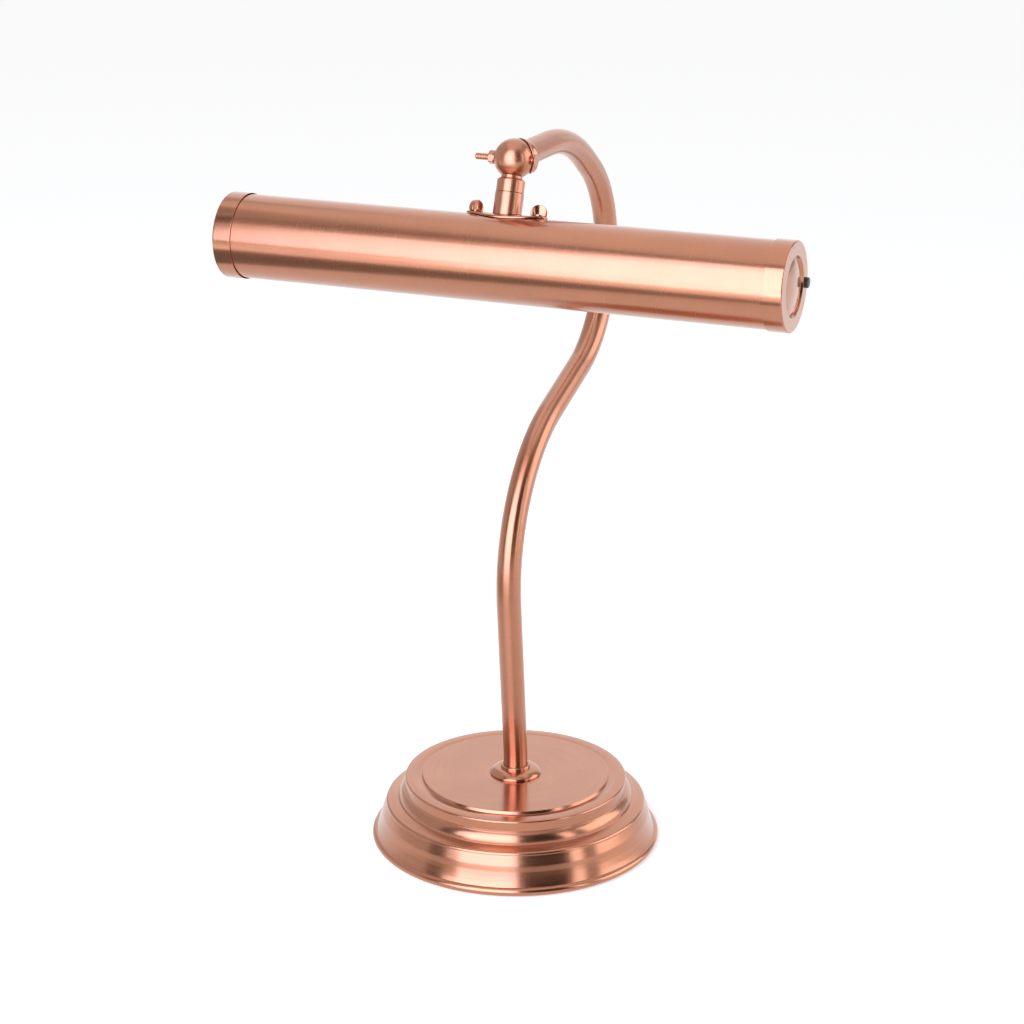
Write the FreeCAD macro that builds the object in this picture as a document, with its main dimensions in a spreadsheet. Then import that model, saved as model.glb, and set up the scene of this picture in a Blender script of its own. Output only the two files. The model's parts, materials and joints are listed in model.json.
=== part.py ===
"""Piano lamp: spun base, swan-neck stem, ball knuckle and a slotted tube shade.

Millimetres, +Z up. The origin is on the table, under the middle of the base.
+X runs along the shade and -Y is the front. The head is at the tilt that it
has when the lamp is in use.
"""
import FreeCAD, Part
import math
import os
from types import SimpleNamespace

import Sketcher

os.makedirs("parts", exist_ok=True)
doc = FreeCAD.newDocument("PianoLamp")

# Driving dimensions, in millimetres and degrees
SIZES = {
    # spun base shell, bottom to top
    "base_radius": 90.0,
    "base_height": 42.1,
    "shell_wall": 1.2,
    "bead_radius": 2.6,
    "floor_gap": 0.7,
    "flare_curve": 60.0,
    "flare_mid_radius": 83.5,
    "flare_mid_height": 18.0,
    "flare_top_radius": 81.2,
    "flare_top_height": 24.1,
    "shelf_radius": 79.4,
    "shelf_height": 25.9,
    "shelf_corner": 1.85,
    "shoulder_radius": 73.4,
    "shoulder_height": 27.2,
    "shoulder_curve": 9.0,
    "lip_radius": 70.0,
    "lip_bottom": 33.6,
    "lip_height": 34.3,
    "wall_radius": 69.4,
    "ring_radius": 68.3,
    "ring_drop": 1.4,
    "ring_curve": 45.0,
    "ring_corner": 1.2,
    "disc_radius": 57.9,
    "groove_width": 0.9,
    "groove_run": 0.3,
    "groove_depth": 0.6,
    "groove_edge_drop": 0.2,
    # weight, plate and felt inside the base
    "weight_radius": 64.0,
    "weight_top_radius": 54.0,
    "weight_edge_drop": 3.0,
    "recess_radius": 46.0,
    "web_height": 30.0,
    "channel_width": 10.0,
    "channel_bottom": 8.0,
    "channel_top": 18.0,
    "plate_thickness": 1.4,
    "plate_gap": 0.3,
    "felt_radius": 84.0,
    "felt_thickness": 1.6,
    "plate_screw_circle": 55.0,
    "plate_screw_radius": 1.95,
    "plate_screw_head": 3.8,
    "plate_screw_length": 13.0,
    # stem and what holds it
    "stem_radius": 7.5,
    "stem_wall": 1.3,
    "stem_foot_run": 10.0,
    "stem_foot_curve": 60.0,
    "stem_lean": 6.2,
    "stem_lower_run": 99.2,
    "stem_back_curve": 100.0,
    "stem_back_turn": 77.0,
    "stem_middle_run": 51.2,
    "stem_hook_curve": 70.0,
    "stem_hook_turn": 126.6,
    "stem_upper_run": 13.0,
    "stem_crown_curve": 110.0,
    "stem_end_run": 38.5,
    "collar_radius": 16.0,
    "collar_rim": 0.9,
    "collar_gap": 0.15,
    "collar_dome_curve": 8.0,
    "collar_lip_wall": 1.65,
    "collar_step": 1.1,
    "collar_dome_height": 4.0,
    "collar_lip_chamfer": 0.55,
    "collar_height": 5.9,
    "bush_length": 9.5,
    "nipple_radius": 5.0,
    "nipple_bore": 3.6,
    "nipple_drop": 19.6,
    "nipple_rise": 8.0,
    "stem_washer_radius": 12.0,
    "stem_washer_thickness": 1.5,
    "stem_nut_across": 17.0,
    "stem_nut_height": 5.0,
    "thread_gap": 0.05,
    # wiring in the base
    "inlet_bore": 3.1,
    "inlet_neck": 4.3,
    "inlet_flange": 5.5,
    "inlet_flange_thickness": 1.6,
    "inlet_inner_flange": 5.3,
    "inlet_inner_thickness": 1.4,
    "inlet_gap": 0.4,
    "block_width": 26.0,
    "block_depth": 14.0,
    "block_height": 11.0,
    "block_middle": 20.0,
    "terminal_pitch": 8.0,
    "terminal_spread": 4.5,
    "terminal_radius": 1.6,
    "terminal_length": 7.0,
    "block_screw_spread": 10.0,
    "clamp_width": 24.0,
    "clamp_depth": 8.0,
    "clamp_height": 7.0,
    "clamp_middle": 37.0,
    "clamp_screw_spread": 8.5,
    "cord_groove_radius": 3.2,
    "small_screw_radius": 1.45,
    "small_screw_head": 2.8,
    "small_screw_head_height": 1.8,
    "small_screw_grip": 6.0,
    "earth_across": -24.0,
    "earth_forward": -10.0,
    "earth_tag_radius": 4.0,
    "earth_tag_thickness": 0.8,
    "lead_radius": 2.4,
    "lead_drop": 3.0,
    "lead_gap": 0.5,
    # knuckle
    "tilt": 19.0,
    "ball_radius": 11.7,
    "ball_gap": 0.3,
    "cup_wall": 1.4,
    "cup_shift": 1.0,
    "cup_turn": 60.0,
    "cup_rim": 4.0,
    "boss_length": 0.1,
    "cup_slot_gap": 0.65,
    "cup_slot_top": 4.5,
    "cup_slot_inset": 2.5,
    "spigot_length": 10.0,
    "pivot_radius": 1.98,
    "pivot_head": 3.7,
    "pivot_head_height": 1.7,
    "pivot_face_inset": 0.6,
    "pivot_overhang": 8.7,
    "pivot_end_chamfer": 0.5,
    "pivot_nut_across": 7.0,
    "pivot_nut_height": 3.2,
    "pivot_washer_radius": 4.2,
    "pivot_washer_thickness": 0.8,
    "ball_flat_depth": 0.8,
    "waist_radius": 6.1,
    "ball_bore": 3.6,
    "ball_bore_top": 3.2,
    "ball_slot_half": 3.4,
    "ball_slot_front": 3.0,
    "ball_slot_height": 9.0,
    "neck_radius": 8.15,
    "neck_chamfer": 1.25,
    "waist_length": 1.5,
    "neck_length": 8.2,
    "swivel_gap": 0.25,
    "sleeve_radius": 8.4,
    "swivel_bore": 3.4,
    "swivel_grip": 5.5,
    "swivel_overhang": 1.0,
    "swivel_clear": 0.3,
    "swivel_nut_across": 14.0,
    "swivel_nut_height": 4.5,
    "swivel_washer_radius": 8.5,
    "swivel_washer_thickness": 1.0,
    "run_gap": 0.06,
    # shade
    "shade_drop": 58.3,
    "shade_radius": 25.0,
    "shade_wall": 1.0,
    "shade_half": 170.5,
    "slot_margin": 20.5,
    "slot_width": 35.0,
    "slot_corner": 5.0,
    "slot_turn": 56.0,
    "cap_stand_off": 4.5,
    "cap_depth": 11.8,
    "cap_wall": 0.65,
    "cap_corner": 0.8,
    "cap_face_wall": 1.1,
    "cap_rim_width": 9.25,
    "cap_recess_slope": 0.9,
    "cap_recess_depth": 1.2,
    "cap_dome": 0.8,
    "fit_gap": 0.1,
    "saddle_thickness": 2.0,
    "saddle_gap": 0.15,
    "saddle_seat": 0.05,
    "saddle_half_length": 21.5,
    "saddle_end_half": 4.6,
    "saddle_side_curve": 37.0,
    "saddle_end_curve": 4.8,
    "bar_half_length": 25.0,
    "bar_half_width": 7.0,
    "bar_thickness": 3.5,
    "bar_gap": 0.25,
    "thumb_spread": 19.5,
    "thumb_radius": 1.95,
    "thumb_collar_radius": 3.2,
    "thumb_collar_height": 0.8,
    "thumb_gap": 0.2,
    "thumb_root_half": 2.4,
    "thumb_head_half": 4.7,
    "thumb_head_flare": 1.2,
    "thumb_head_thickness": 3.2,
    "thumb_head_curve": 4.85,
    "thumb_dish_curve": 14.0,
    "thumb_dish_depth": 0.45,
    "thumb_overhang": 2.4,
    "thumb_left_turn": 72.0,
    "thumb_right_turn": 22.0,
    # lampholders and lamps
    "bracket_half": 14.0,
    "bracket_wall": 1.2,
    "bracket_half_width": 9.0,
    "bracket_bottom": 11.0,
    "holder_radius": 13.5,
    "holder_end": 60.0,
    "holder_floor": 34.0,
    "holder_bore": 7.0,
    "holder_chamfer": 1.2,
    "holder_nipple_start": 9.5,
    "holder_nipple_end": 23.5,
    "holder_nut_across": 14.0,
    "holder_nut_height": 2.5,
    "lamp_cap_radius": 6.7,
    "lamp_cap_start": 34.6,
    "lamp_cap_end": 58.5,
    "lamp_cap_taper": 2.5,
    "lamp_neck_radius": 6.4,
    "lamp_neck_end": 60.5,
    "lamp_glass_radius": 12.5,
    "lamp_glass_wall": 0.7,
    "lamp_shoulder_end": 68.0,
    "lamp_glass_end": 112.0,
    "filament_radius": 0.5,
    "filament_half": 3.0,
    "filament_bend": 2.7,
    "filament_end": 104.0,
    # push switch in the right cap
    "button_radius": 3.05,
    "button_edge": 0.4,
    "button_stem_radius": 1.7,
    "button_stem_length": 10.8,
    "button_inset": 4.2,
    "button_turn": 13.5,
    "button_out": 2.4,
    "button_travel": 1.5,
    "button_rest_gap": 0.3,
    "switch_collar_radius": 4.2,
    "switch_length": 15.0,
    "switch_inner": 10.5,
    "switch_clear": 0.8,
    "switch_half_width": 4.8,
    "wire_radius": 1.1,
    "wire_spread": 1.3,
    "wire_back": 0.9,
    "wire_front": 1.4,
    "wire_overlap": 2.5,
    "wire_bend": 5.0,
    "wire_side_gap": 6.0,
    "wire_lead_in": 6.0,
    "wire_sweep": 10.0,
}
MARGIN = 1.0  # how far a cutting tool reaches past the metal
FAR = 3  # how many of a piece's radii reach past all of it
SIDES = (("left", -1), ("right", 1))


class Size:
    """A length or an angle: its number, and the formula that gives that number."""

    def __init__(self, number, formula):
        self.number = number
        self.formula = formula

    def __add__(self, other):
        other = as_size(other)
        return Size(self.number + other.number, f"({self.formula} + {other.formula})")

    def __sub__(self, other):
        other = as_size(other)
        return Size(self.number - other.number, f"({self.formula} - {other.formula})")

    def __mul__(self, other):
        other = as_size(other)
        return Size(self.number * other.number, f"({self.formula} * {other.formula})")

    def __truediv__(self, other):
        other = as_size(other)
        return Size(self.number / other.number, f"({self.formula} / {other.formula})")

    def __radd__(self, other):
        return as_size(other) + self

    def __rsub__(self, other):
        return as_size(other) - self

    def __rmul__(self, other):
        return as_size(other) * self

    def __neg__(self):
        return as_size(0.0) - self


def as_size(value):
    """A plain number as a Size; a Size as it is."""
    return value if isinstance(value, Size) else Size(float(value), str(float(value)))


def sine(angle):
    return Size(math.sin(math.radians(angle.number)), f"sin({angle.formula})")


def cosine(angle):
    return Size(math.cos(math.radians(angle.number)), f"cos({angle.formula})")


def arctangent(slope):
    return Size(math.degrees(math.atan(slope.number)), f"atan({slope.formula}) / 1deg")


def root(value):
    return Size(math.sqrt(value.number), f"sqrt({value.formula})")


sheet = doc.addObject("Spreadsheet::Sheet", "Sizes")
for row, (alias, value) in enumerate(SIZES.items(), start=1):
    sheet.set(f"A{row}", alias)
    sheet.set(f"B{row}", str(value))
    sheet.setAlias(f"B{row}", alias)
doc.recompute()
fits = doc.addObject("App::VarSet", "Fits")
size = SimpleNamespace(**{alias: Size(value, f"Sizes.{alias}") for alias, value in SIZES.items()})


def named(name, value):
    """Keep a worked-out size under its own name, so that longer formulas stay short."""
    fits.addProperty("App::PropertyFloat", name, "Fits")
    fits.setExpression(name, value.formula)
    return Size(value.number, f"Fits.{name}")


class Frame:
    """Where a piece is drawn: an origin, and how far its +Z leans back."""

    def __init__(self, y, z, turn=None):
        self.origin = (as_size(0), as_size(y), as_size(z))
        self.turn = turn


def place(piece, frame):
    """Put a piece that was drawn about its own origin into a frame."""
    numbers = [value.number for value in frame.origin]
    turn = FreeCAD.Rotation()
    if frame.turn:
        turn = FreeCAD.Rotation(FreeCAD.Vector(-1, 0, 0), frame.turn.number)
    piece.Placement = FreeCAD.Placement(FreeCAD.Vector(*numbers), turn)
    for axis, value in zip("xyz", frame.origin):
        piece.setExpression(f"Placement.Base.{axis}", value.formula)
    if frame.turn:
        piece.setExpression("Placement.Rotation.Angle", frame.turn.formula)
    return piece


def arc_between(start, end, radius, side):
    """The short arc from start to end, with its centre on the left (1) or right (-1)."""
    chord = end - start
    across = FreeCAD.Vector(-chord.y, chord.x, 0).normalize() * side
    centre = (start + end) / 2 + across * math.sqrt(radius**2 - (chord.Length / 2) ** 2)
    angles = [math.atan2(p.y - centre.y, p.x - centre.x) for p in (start, end)]
    if side < 0:
        angles.reverse()
    return Part.ArcOfCircle(Part.Circle(centre, FreeCAD.Vector(0, 0, 1), radius), *angles)


def outline(sketch, points, closed=True):
    """Draw runs and arcs through points, and tie each one to its formula.

    A point is (x, y), or (x, y, radius, side) where an arc starts there.
    """
    corners = [(as_size(point[0]), as_size(point[1])) for point in points]
    places = [FreeCAD.Vector(x.number, y.number, 0) for x, y in corners]
    stretches = len(points) if closed else len(points) - 1
    ties = []
    ends = []
    for index in range(stretches):
        start, end = places[index], places[(index + 1) % len(points)]
        curve = points[index][2:]
        if curve:
            radius, side = as_size(curve[0]), curve[1]
            geometry = sketch.addGeometry(arc_between(start, end, radius.number, side))
            ties.append((Sketcher.Constraint("Radius", geometry, radius.number), radius))
            ends.append((geometry, 1, 2) if side > 0 else (geometry, 2, 1))
        else:
            geometry = sketch.addGeometry(Part.LineSegment(start, end))
            ends.append((geometry, 1, 2))
    for index, (geometry, first, last) in enumerate(ends):
        if closed or index + 1 < len(ends):
            following = ends[(index + 1) % len(ends)]
            joint = Sketcher.Constraint("Coincident", geometry, last, following[0], following[1])
            ties.append((joint, None))
        spots = [(corners[index], first)]
        if not closed and index + 1 == len(ends):
            spots.append((corners[index + 1], last))
        for (x, y), spot in spots:
            ties.append((Sketcher.Constraint("DistanceX", -1, 1, geometry, spot, x.number), x))
            ties.append((Sketcher.Constraint("DistanceY", -1, 1, geometry, spot, y.number), y))
    for constraint, value in ties:
        number = sketch.addConstraint(constraint)
        if value is not None:
            sketch.setExpression(f"Constraints[{number}]", value.formula)


def sketch_on(body, plane, level=0):
    """A sketch on one of a body's base planes, moved along the plane's normal."""
    sketch = body.newObject("Sketcher::SketchObject", f"{body.Name}_sketch")
    support = next(item for item in body.Origin.OriginFeatures if item.Role == plane)
    sketch.AttachmentSupport = [(support, "")]
    sketch.MapMode = "FlatFace"
    level = as_size(level)
    sketch.AttachmentOffset = FreeCAD.Placement(
        FreeCAD.Vector(0, 0, level.number), FreeCAD.Rotation()
    )
    sketch.setExpression("AttachmentOffset.Base.z", level.formula)
    return sketch


def turned(label, points, axis="V_Axis"):
    """A body turned about Z from (radius, height) points, or about X with axis H_Axis."""
    body = doc.addObject("PartDesign::Body", label)
    sketch = sketch_on(body, "XZ_Plane")
    outline(sketch, points)
    turning = body.newObject("PartDesign::Revolution", f"{body.Name}_turning")
    turning.Profile = sketch
    turning.ReferenceAxis = (sketch, [axis])
    turning.Angle = 360.0
    return body


def prism(label, plane, points, low, length, middle=False):
    """A body padded from an outline: from low, or both ways from low if middle."""
    body = doc.addObject("PartDesign::Body", label)
    sketch = sketch_on(body, plane, low)
    outline(sketch, points)
    pad = body.newObject("PartDesign::Pad", f"{body.Name}_pad")
    pad.Profile = sketch
    pad.SideType = "Symmetric" if middle else "One side"
    pad.Length = as_size(length).number
    pad.setExpression("Length", as_size(length).formula)
    return body


ALONG = {
    "x": FreeCAD.Rotation(FreeCAD.Vector(0, 1, 0), 90),
    "y": FreeCAD.Rotation(FreeCAD.Vector(-1, 0, 0), 90),
    "z": FreeCAD.Rotation(),
}


def bind_all(piece, values):
    """Tie several of a piece's properties to their formulas."""
    for name, value in values.items():
        piece.setExpression(name, as_size(value).formula)
    return piece


def rod(label, radius, low, high, axis="z", **middle):
    """A cylinder along an axis, from low to high, with its middle at x=, y= or z=."""
    piece = doc.addObject("Part::Cylinder", label)
    piece.Placement = FreeCAD.Placement(FreeCAD.Vector(), ALONG[axis])
    spot = {"x": 0, "y": 0, "z": 0, **middle, axis: low}
    bind_all(piece, {f"Placement.Base.{name}": value for name, value in spot.items()})
    return bind_all(piece, {"Radius": radius, "Height": as_size(high) - low})


def block(label, x, y, z):
    """A box from its low and high sides along X, Y and Z."""
    piece = doc.addObject("Part::Box", label)
    for name, length, (low, high) in zip("xyz", ("Length", "Width", "Height"), (x, y, z)):
        bind_all(piece, {f"Placement.Base.{name}": low, length: as_size(high) - low})
    return piece


def globe(label, radius, x=0):
    """A sphere with its centre on the X axis."""
    piece = doc.addObject("Part::Sphere", label)
    return bind_all(piece, {"Radius": radius, "Placement.Base.x": x})


def fuse(label, *pieces):
    """Pieces made one."""
    piece = doc.addObject("Part::MultiFuse", label)
    piece.Shapes = list(pieces)
    return piece


def cut(label, base, *tools):
    """A base less every tool."""
    piece = doc.addObject("Part::Cut", label)
    piece.Base = base
    piece.Tool = tools[0] if len(tools) == 1 else fuse(f"{label}_tools", *tools)
    return piece


def common(label, first, second):
    """What two pieces share."""
    piece = doc.addObject("Part::Common", label)
    piece.Base = first
    piece.Tool = second
    return piece


def group(label, pieces):
    """Alike pieces in one node."""
    piece = doc.addObject("Part::Compound", label)
    piece.Links = list(pieces)
    return piece


def both_ways(width):
    """From minus to plus a width."""
    return (-as_size(width), as_size(width))


def hexagon(across):
    """The corners of a hexagon, from its width across flats."""
    corner = across / math.sqrt(3)
    turns = [math.radians(30 + 60 * index) for index in range(6)]
    return [(corner * round(math.cos(turn), 6), corner * round(math.sin(turn), 6)) for turn in turns]


def nut(label, plane, across, low, height, hole):
    """A hexagon nut along X or Z with a plain hole."""
    axis = "x" if plane == "YZ_Plane" else "z"
    solid = prism(f"{label}_hexagon", plane, hexagon(across), low, height)
    return cut(label, solid, rod(f"{label}_hole", hole, low - MARGIN, low + height + MARGIN, axis))


def sweep(label, edges, radius, frame=None):
    """A round wire along tangent edges, made from its route in numbers."""
    path = Part.Wire(edges)
    first = edges[0]
    start = first.valueAt(first.FirstParameter)
    section = Part.Wire(Part.makeCircle(radius.number, start, first.tangentAt(first.FirstParameter)))
    shape = path.makePipeShell([section], True, True)
    share = shape.Volume / (math.pi * radius.number**2 * path.Length)
    print(f"{label}: {path.Length:.1f} mm long, volume {share:.4f} of section times length")
    piece = doc.addObject("Part::Feature", label)
    piece.Shape = shape
    return place(piece, frame) if frame else piece


def rounded(corners, radii):
    """Straight edges through corners, with a tangent arc of the given radius at each turn."""
    spots = [FreeCAD.Vector(*(as_size(value).number for value in corner)) for corner in corners]
    edges = []
    start = spots[0]
    for before, corner, after, radius in zip(spots, spots[1:], spots[2:], radii):
        radius = as_size(radius).number
        into = (corner - before).normalize()
        away = (after - corner).normalize()
        half = into.getAngle(away) / 2
        first = corner - into * radius * math.tan(half)
        last = corner + away * radius * math.tan(half)
        inward = (away - into).normalize()
        middle = corner + inward * radius * (1 / math.cos(half) - 1)
        edges += [Part.LineSegment(start, first).toShape(), Part.Arc(first, middle, last).toShape()]
        start = last
    return edges + [Part.LineSegment(start, spots[-1]).toShape()]


class Route:
    """A line of runs and tangent arcs in the YZ plane, which starts upwards."""

    def __init__(self, name, y, z):
        self.name = name
        self.y, self.z = as_size(y), as_size(z)
        self.heading = as_size(0)
        self.points = []

    def move(self, y, z):
        step = len(self.points)
        self.y = named(f"{self.name}_y{step}", self.y + y)
        self.z = named(f"{self.name}_z{step}", self.z + z)

    def run(self, length):
        """Straight on."""
        self.points.append((self.y, self.z))
        self.move(length * sine(self.heading), length * cosine(self.heading))

    def bend(self, radius, turn):
        """An arc that turns by some degrees, towards the back if they are positive."""
        after = named(f"{self.name}_heading{len(self.points)}", self.heading + turn)
        back = 1 if turn.number > 0 else -1
        self.points.append((self.y, self.z, radius, -back))
        side = radius * back
        self.move(
            side * (cosine(self.heading) - cosine(after)),
            side * (sine(after) - sine(self.heading)),
        )
        self.heading = after

    def corners(self):
        """Every point, the end among them."""
        return self.points + [(self.y, self.z)]

    def edges(self):
        """The same line as edges in space."""
        flat = self.corners()
        shapes = []
        for point, following in zip(flat, flat[1:]):
            start, end = (FreeCAD.Vector(p[0].number, p[1].number, 0) for p in (point, following))
            if len(point) > 2:
                shapes.append(arc_between(start, end, as_size(point[2]).number, point[3]).toShape())
            else:
                shapes.append(Part.LineSegment(start, end).toShape())
        upright = FreeCAD.Matrix(0, 0, 1, 0, 1, 0, 0, 0, 0, 1, 0, 0)
        return [shape.transformGeometry(upright) for shape in shapes]


# Worked-out sizes of the knuckle, from the ball outwards
waist_level = named("waist_level", root(
    size.ball_radius * size.ball_radius - size.waist_radius * size.waist_radius))
neck_top = waist_level + size.waist_length
neck_bottom = neck_top + size.neck_length
cup_inside = size.ball_radius + size.ball_gap
cup_radius = cup_inside + size.cup_wall
cup_reach = cup_radius + size.boss_length
pivot_face = cup_radius + size.cup_shift - size.pivot_face_inset
ball_flat = size.ball_radius - size.ball_flat_depth
pivot_hole = size.pivot_radius + size.run_gap
pivot_washer_face = -(ball_flat + size.fit_gap * 2)
pivot_nut_face = pivot_washer_face - size.pivot_washer_thickness
pivot_tip = pivot_nut_face - size.pivot_nut_height - size.pivot_overhang

# Worked-out sizes of the base
bead_middle = size.base_radius - size.bead_radius
bead_level = size.floor_gap + size.bead_radius
bead_top = size.floor_gap + size.bead_radius * 2
base_inside = size.base_height - size.shell_wall
plate_top = size.felt_thickness + size.plate_thickness
stem_bore = size.stem_radius - size.stem_wall
bush_radius = stem_bore - size.thread_gap
thread_hole = size.nipple_radius + size.thread_gap
bolt_hole = size.nipple_radius + size.swivel_clear
washer_level = size.web_height - size.stem_washer_thickness

# The cord's inlet sits square on the middle of the flare
flare_run = bead_middle - size.flare_mid_radius
flare_rise = size.flare_mid_height - bead_top
flare_tilt = named("flare_tilt", arctangent(flare_run / flare_rise))
flare_chord = named("flare_chord", root(flare_run * flare_run + flare_rise * flare_rise))
flare_hollow = named("flare_hollow", flare_chord * flare_chord / (size.flare_curve * 8))
inlet_y = (bead_middle + size.flare_mid_radius) / 2 - flare_hollow * cosine(flare_tilt)
inlet_z = (bead_top + size.flare_mid_height) / 2 - flare_hollow * sine(flare_tilt)
inlet = Frame(inlet_y, inlet_z, 90 - flare_tilt)
flare_wall = named("flare_wall", size.shell_wall * (cosine(flare_tilt) + sine(flare_tilt)))

# The stem's centre line: up, a little forward, back over, and round to level
stem = Route("stem", 0, size.base_height)
stem.run(size.stem_foot_run)
stem.bend(size.stem_foot_curve, -size.stem_lean)
stem.run(size.stem_lower_run)
stem.bend(size.stem_back_curve, size.stem_back_turn)
stem.run(size.stem_middle_run)
stem.bend(size.stem_hook_curve, -size.stem_hook_turn)
stem.run(size.stem_upper_run)
stem.bend(size.stem_crown_curve, -(stem.heading + 90))
stem.run(size.stem_end_run)

# Frames of the cup, of the tilted head, of the shade and of the switch in it
ball_y = named("ball_y", stem.y - cup_reach)
ball_z = named("ball_z", stem.z)
cup = Frame(ball_y, ball_z)
head = Frame(ball_y, ball_z, size.tilt)
shade_y = named("shade_y", ball_y - size.shade_drop * sine(size.tilt))
shade_z = named("shade_z", ball_z - size.shade_drop * cosine(size.tilt))
shade = Frame(shade_y, shade_z, size.tilt)
switch = Frame(shade_y, shade_z, size.tilt - size.button_turn)

# Worked-out sizes of the head
shade_bore = size.shade_radius - size.shade_wall
saddle_inside = size.shade_radius + size.saddle_gap
saddle_top = saddle_inside + size.saddle_thickness
bar_top = named("bar_top", root(
    shade_bore * shade_bore - size.bar_half_width * size.bar_half_width) - size.bar_gap)
bar_bottom = bar_top - size.bar_thickness
web_bottom = bar_bottom - size.bracket_wall
swivel_washer_bottom = web_bottom - size.swivel_washer_thickness
swivel_nut_bottom = swivel_washer_bottom - size.swivel_nut_height
swivel_end = swivel_nut_bottom - size.swivel_overhang
leg_inside = size.bracket_half - size.bracket_wall
cap_inside = size.shade_radius + size.fit_gap
cap_outside = cap_inside + size.cap_wall
cap_face = size.shade_half + size.cap_stand_off
cap_start = cap_face - size.cap_depth
cap_floor = cap_face - size.cap_recess_depth - size.cap_face_wall
button_circle = size.shade_radius - size.button_inset
button_back = cap_floor + size.fit_gap
switch_front = button_back - size.button_travel - size.button_rest_gap
button_hole = size.button_radius + size.fit_gap
button_stem_hole = size.button_stem_radius + size.run_gap
thumb_hole = size.thumb_radius + size.saddle_gap
shade_holes = (("left", -size.thumb_spread), ("right", size.thumb_spread))

# Where screws go in the base: three in the plate, then the block's, the clamp's and the earth's
PLATE_SCREWS = [
    (size.plate_screw_circle * round(math.cos(math.radians(turn)), 6),
     size.plate_screw_circle * round(math.sin(math.radians(turn)), 6))
    for turn in (-90, 30, 150)
]
WEB_SCREWS = [
    (-size.block_screw_spread, size.block_middle),
    (size.block_screw_spread, size.block_middle),
    (-size.clamp_screw_spread, size.clamp_middle),
    (size.clamp_screw_spread, size.clamp_middle),
    (size.earth_across, size.earth_forward),
]
TERMINALS = [
    (size.terminal_pitch * column, size.block_middle + size.terminal_spread * row)
    for column in (-1, 0, 1)
    for row in (-1, 1)
]


def base_shell():
    """Spun shell: flat disc, groove, raised ring, two steps, flare and rolled bead."""
    groove = size.disc_radius + size.groove_run
    ring_start = size.disc_radius + size.groove_width
    ring_end = size.base_height - size.ring_drop
    corner_end = ring_end - size.ring_corner
    outside = [
        (size.disc_radius, size.base_height),
        (groove, size.base_height - size.groove_depth),
        (ring_start, size.base_height - size.groove_edge_drop, size.ring_curve, -1),
        (size.ring_radius, ring_end, size.ring_corner, -1),
        (size.wall_radius - size.groove_run, corner_end),
        (size.wall_radius, size.lip_height),
        (size.lip_radius, size.lip_height - size.groove_edge_drop),
        (size.lip_radius, size.lip_bottom, size.shoulder_curve, -1),
        (size.shoulder_radius, size.shoulder_height),
        (size.shelf_radius, size.shelf_height, size.shelf_corner, -1),
        (size.flare_top_radius, size.flare_top_height),
        (size.flare_mid_radius, size.flare_mid_height, size.flare_curve, 1),
        (bead_middle, bead_top, size.bead_radius, -1),
    ]
    bead = [
        (size.base_radius, bead_level, size.bead_radius, -1),
        (bead_middle, size.floor_gap, size.bead_radius, -1),
        (bead_middle - size.bead_radius, bead_level),
    ]
    inside = []
    for index, point in reversed(list(enumerate(outside))):
        arc = outside[index - 1][2:] if index else ()
        curve = (arc[0], -arc[1]) if arc else ()
        inside.append((point[0] - size.shell_wall, point[1] - size.shell_wall, *curve))
    top = [(bolt_hole, base_inside), (bolt_hole, size.base_height)]
    spun = turned("base_spinning", outside + bead + inside + top)
    hole_radius, hole_reach = size.inlet_neck + size.fit_gap, size.inlet_flange
    hole = turned("inlet_hole", [
        (0, -hole_reach), (hole_radius, -hole_reach), (hole_radius, hole_reach), (0, hole_reach),
    ])
    return cut("base_shell", spun, place(hole, inlet))


def base_weight():
    """Cast iron ring and web that fills the shell, with a channel for the cord."""
    casting = turned("base_casting", [
        (bolt_hole, base_inside),
        (size.weight_top_radius, base_inside),
        (size.weight_radius, base_inside - size.weight_edge_drop),
        (size.weight_radius, plate_top),
        (size.recess_radius, plate_top),
        (size.recess_radius, size.web_height),
        (bolt_hole, size.web_height),
    ])
    channel = block(
        "cord_channel",
        both_ways(size.channel_width / 2),
        (size.recess_radius - MARGIN, size.weight_radius + MARGIN),
        (size.channel_bottom, size.channel_top),
    )
    screw_hole = size.plate_screw_radius + size.fit_gap
    depth = size.plate_screw_length + size.felt_thickness + MARGIN
    holes = [
        rod(f"weight_hole_{index}", screw_hole, plate_top - MARGIN, depth, x=x, y=y)
        for index, (x, y) in enumerate(PLATE_SCREWS)
    ]
    low, high = size.web_height - MARGIN, size.web_height + size.small_screw_grip + MARGIN
    threads = [
        rod(f"web_hole_{index}", size.small_screw_radius + size.thread_gap, low, high, x=x, y=y)
        for index, (x, y) in enumerate(WEB_SCREWS)
    ]
    return cut("base_weight", casting, channel, *holes, *threads)


def plate_screw(label, x, y, gap=0):
    """A countersunk screw up into the weight, or the hole for one with a gap all round."""
    head = size.plate_screw_head + gap
    shank = size.plate_screw_radius + gap
    level = size.felt_thickness
    face = [(0, level - gap), (head, level - gap)] if gap else [(0, level)]
    screw = turned(label, face + [
        (head, level),
        (shank, plate_top),
        (shank, level + size.plate_screw_length),
        (0, level + size.plate_screw_length),
    ])
    return bind_all(screw, {"Placement.Base.x": x, "Placement.Base.y": y})


def base_plate():
    """Steel bottom plate inside the bead, with its countersunk holes."""
    radius = bead_middle - size.bead_radius - size.plate_gap
    disc = rod("plate_disc", radius, size.felt_thickness, plate_top)
    holes = [
        plate_screw(f"plate_hole_{index}", x, y, size.thread_gap)
        for index, (x, y) in enumerate(PLATE_SCREWS)
    ]
    return cut("base_plate", disc, *holes)


def plate_screws():
    """Three countersunk screws that hold the plate to the weight."""
    return group("plate_screws", [
        plate_screw(f"plate_screw_{index}", x, y) for index, (x, y) in enumerate(PLATE_SCREWS)
    ])


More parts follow.
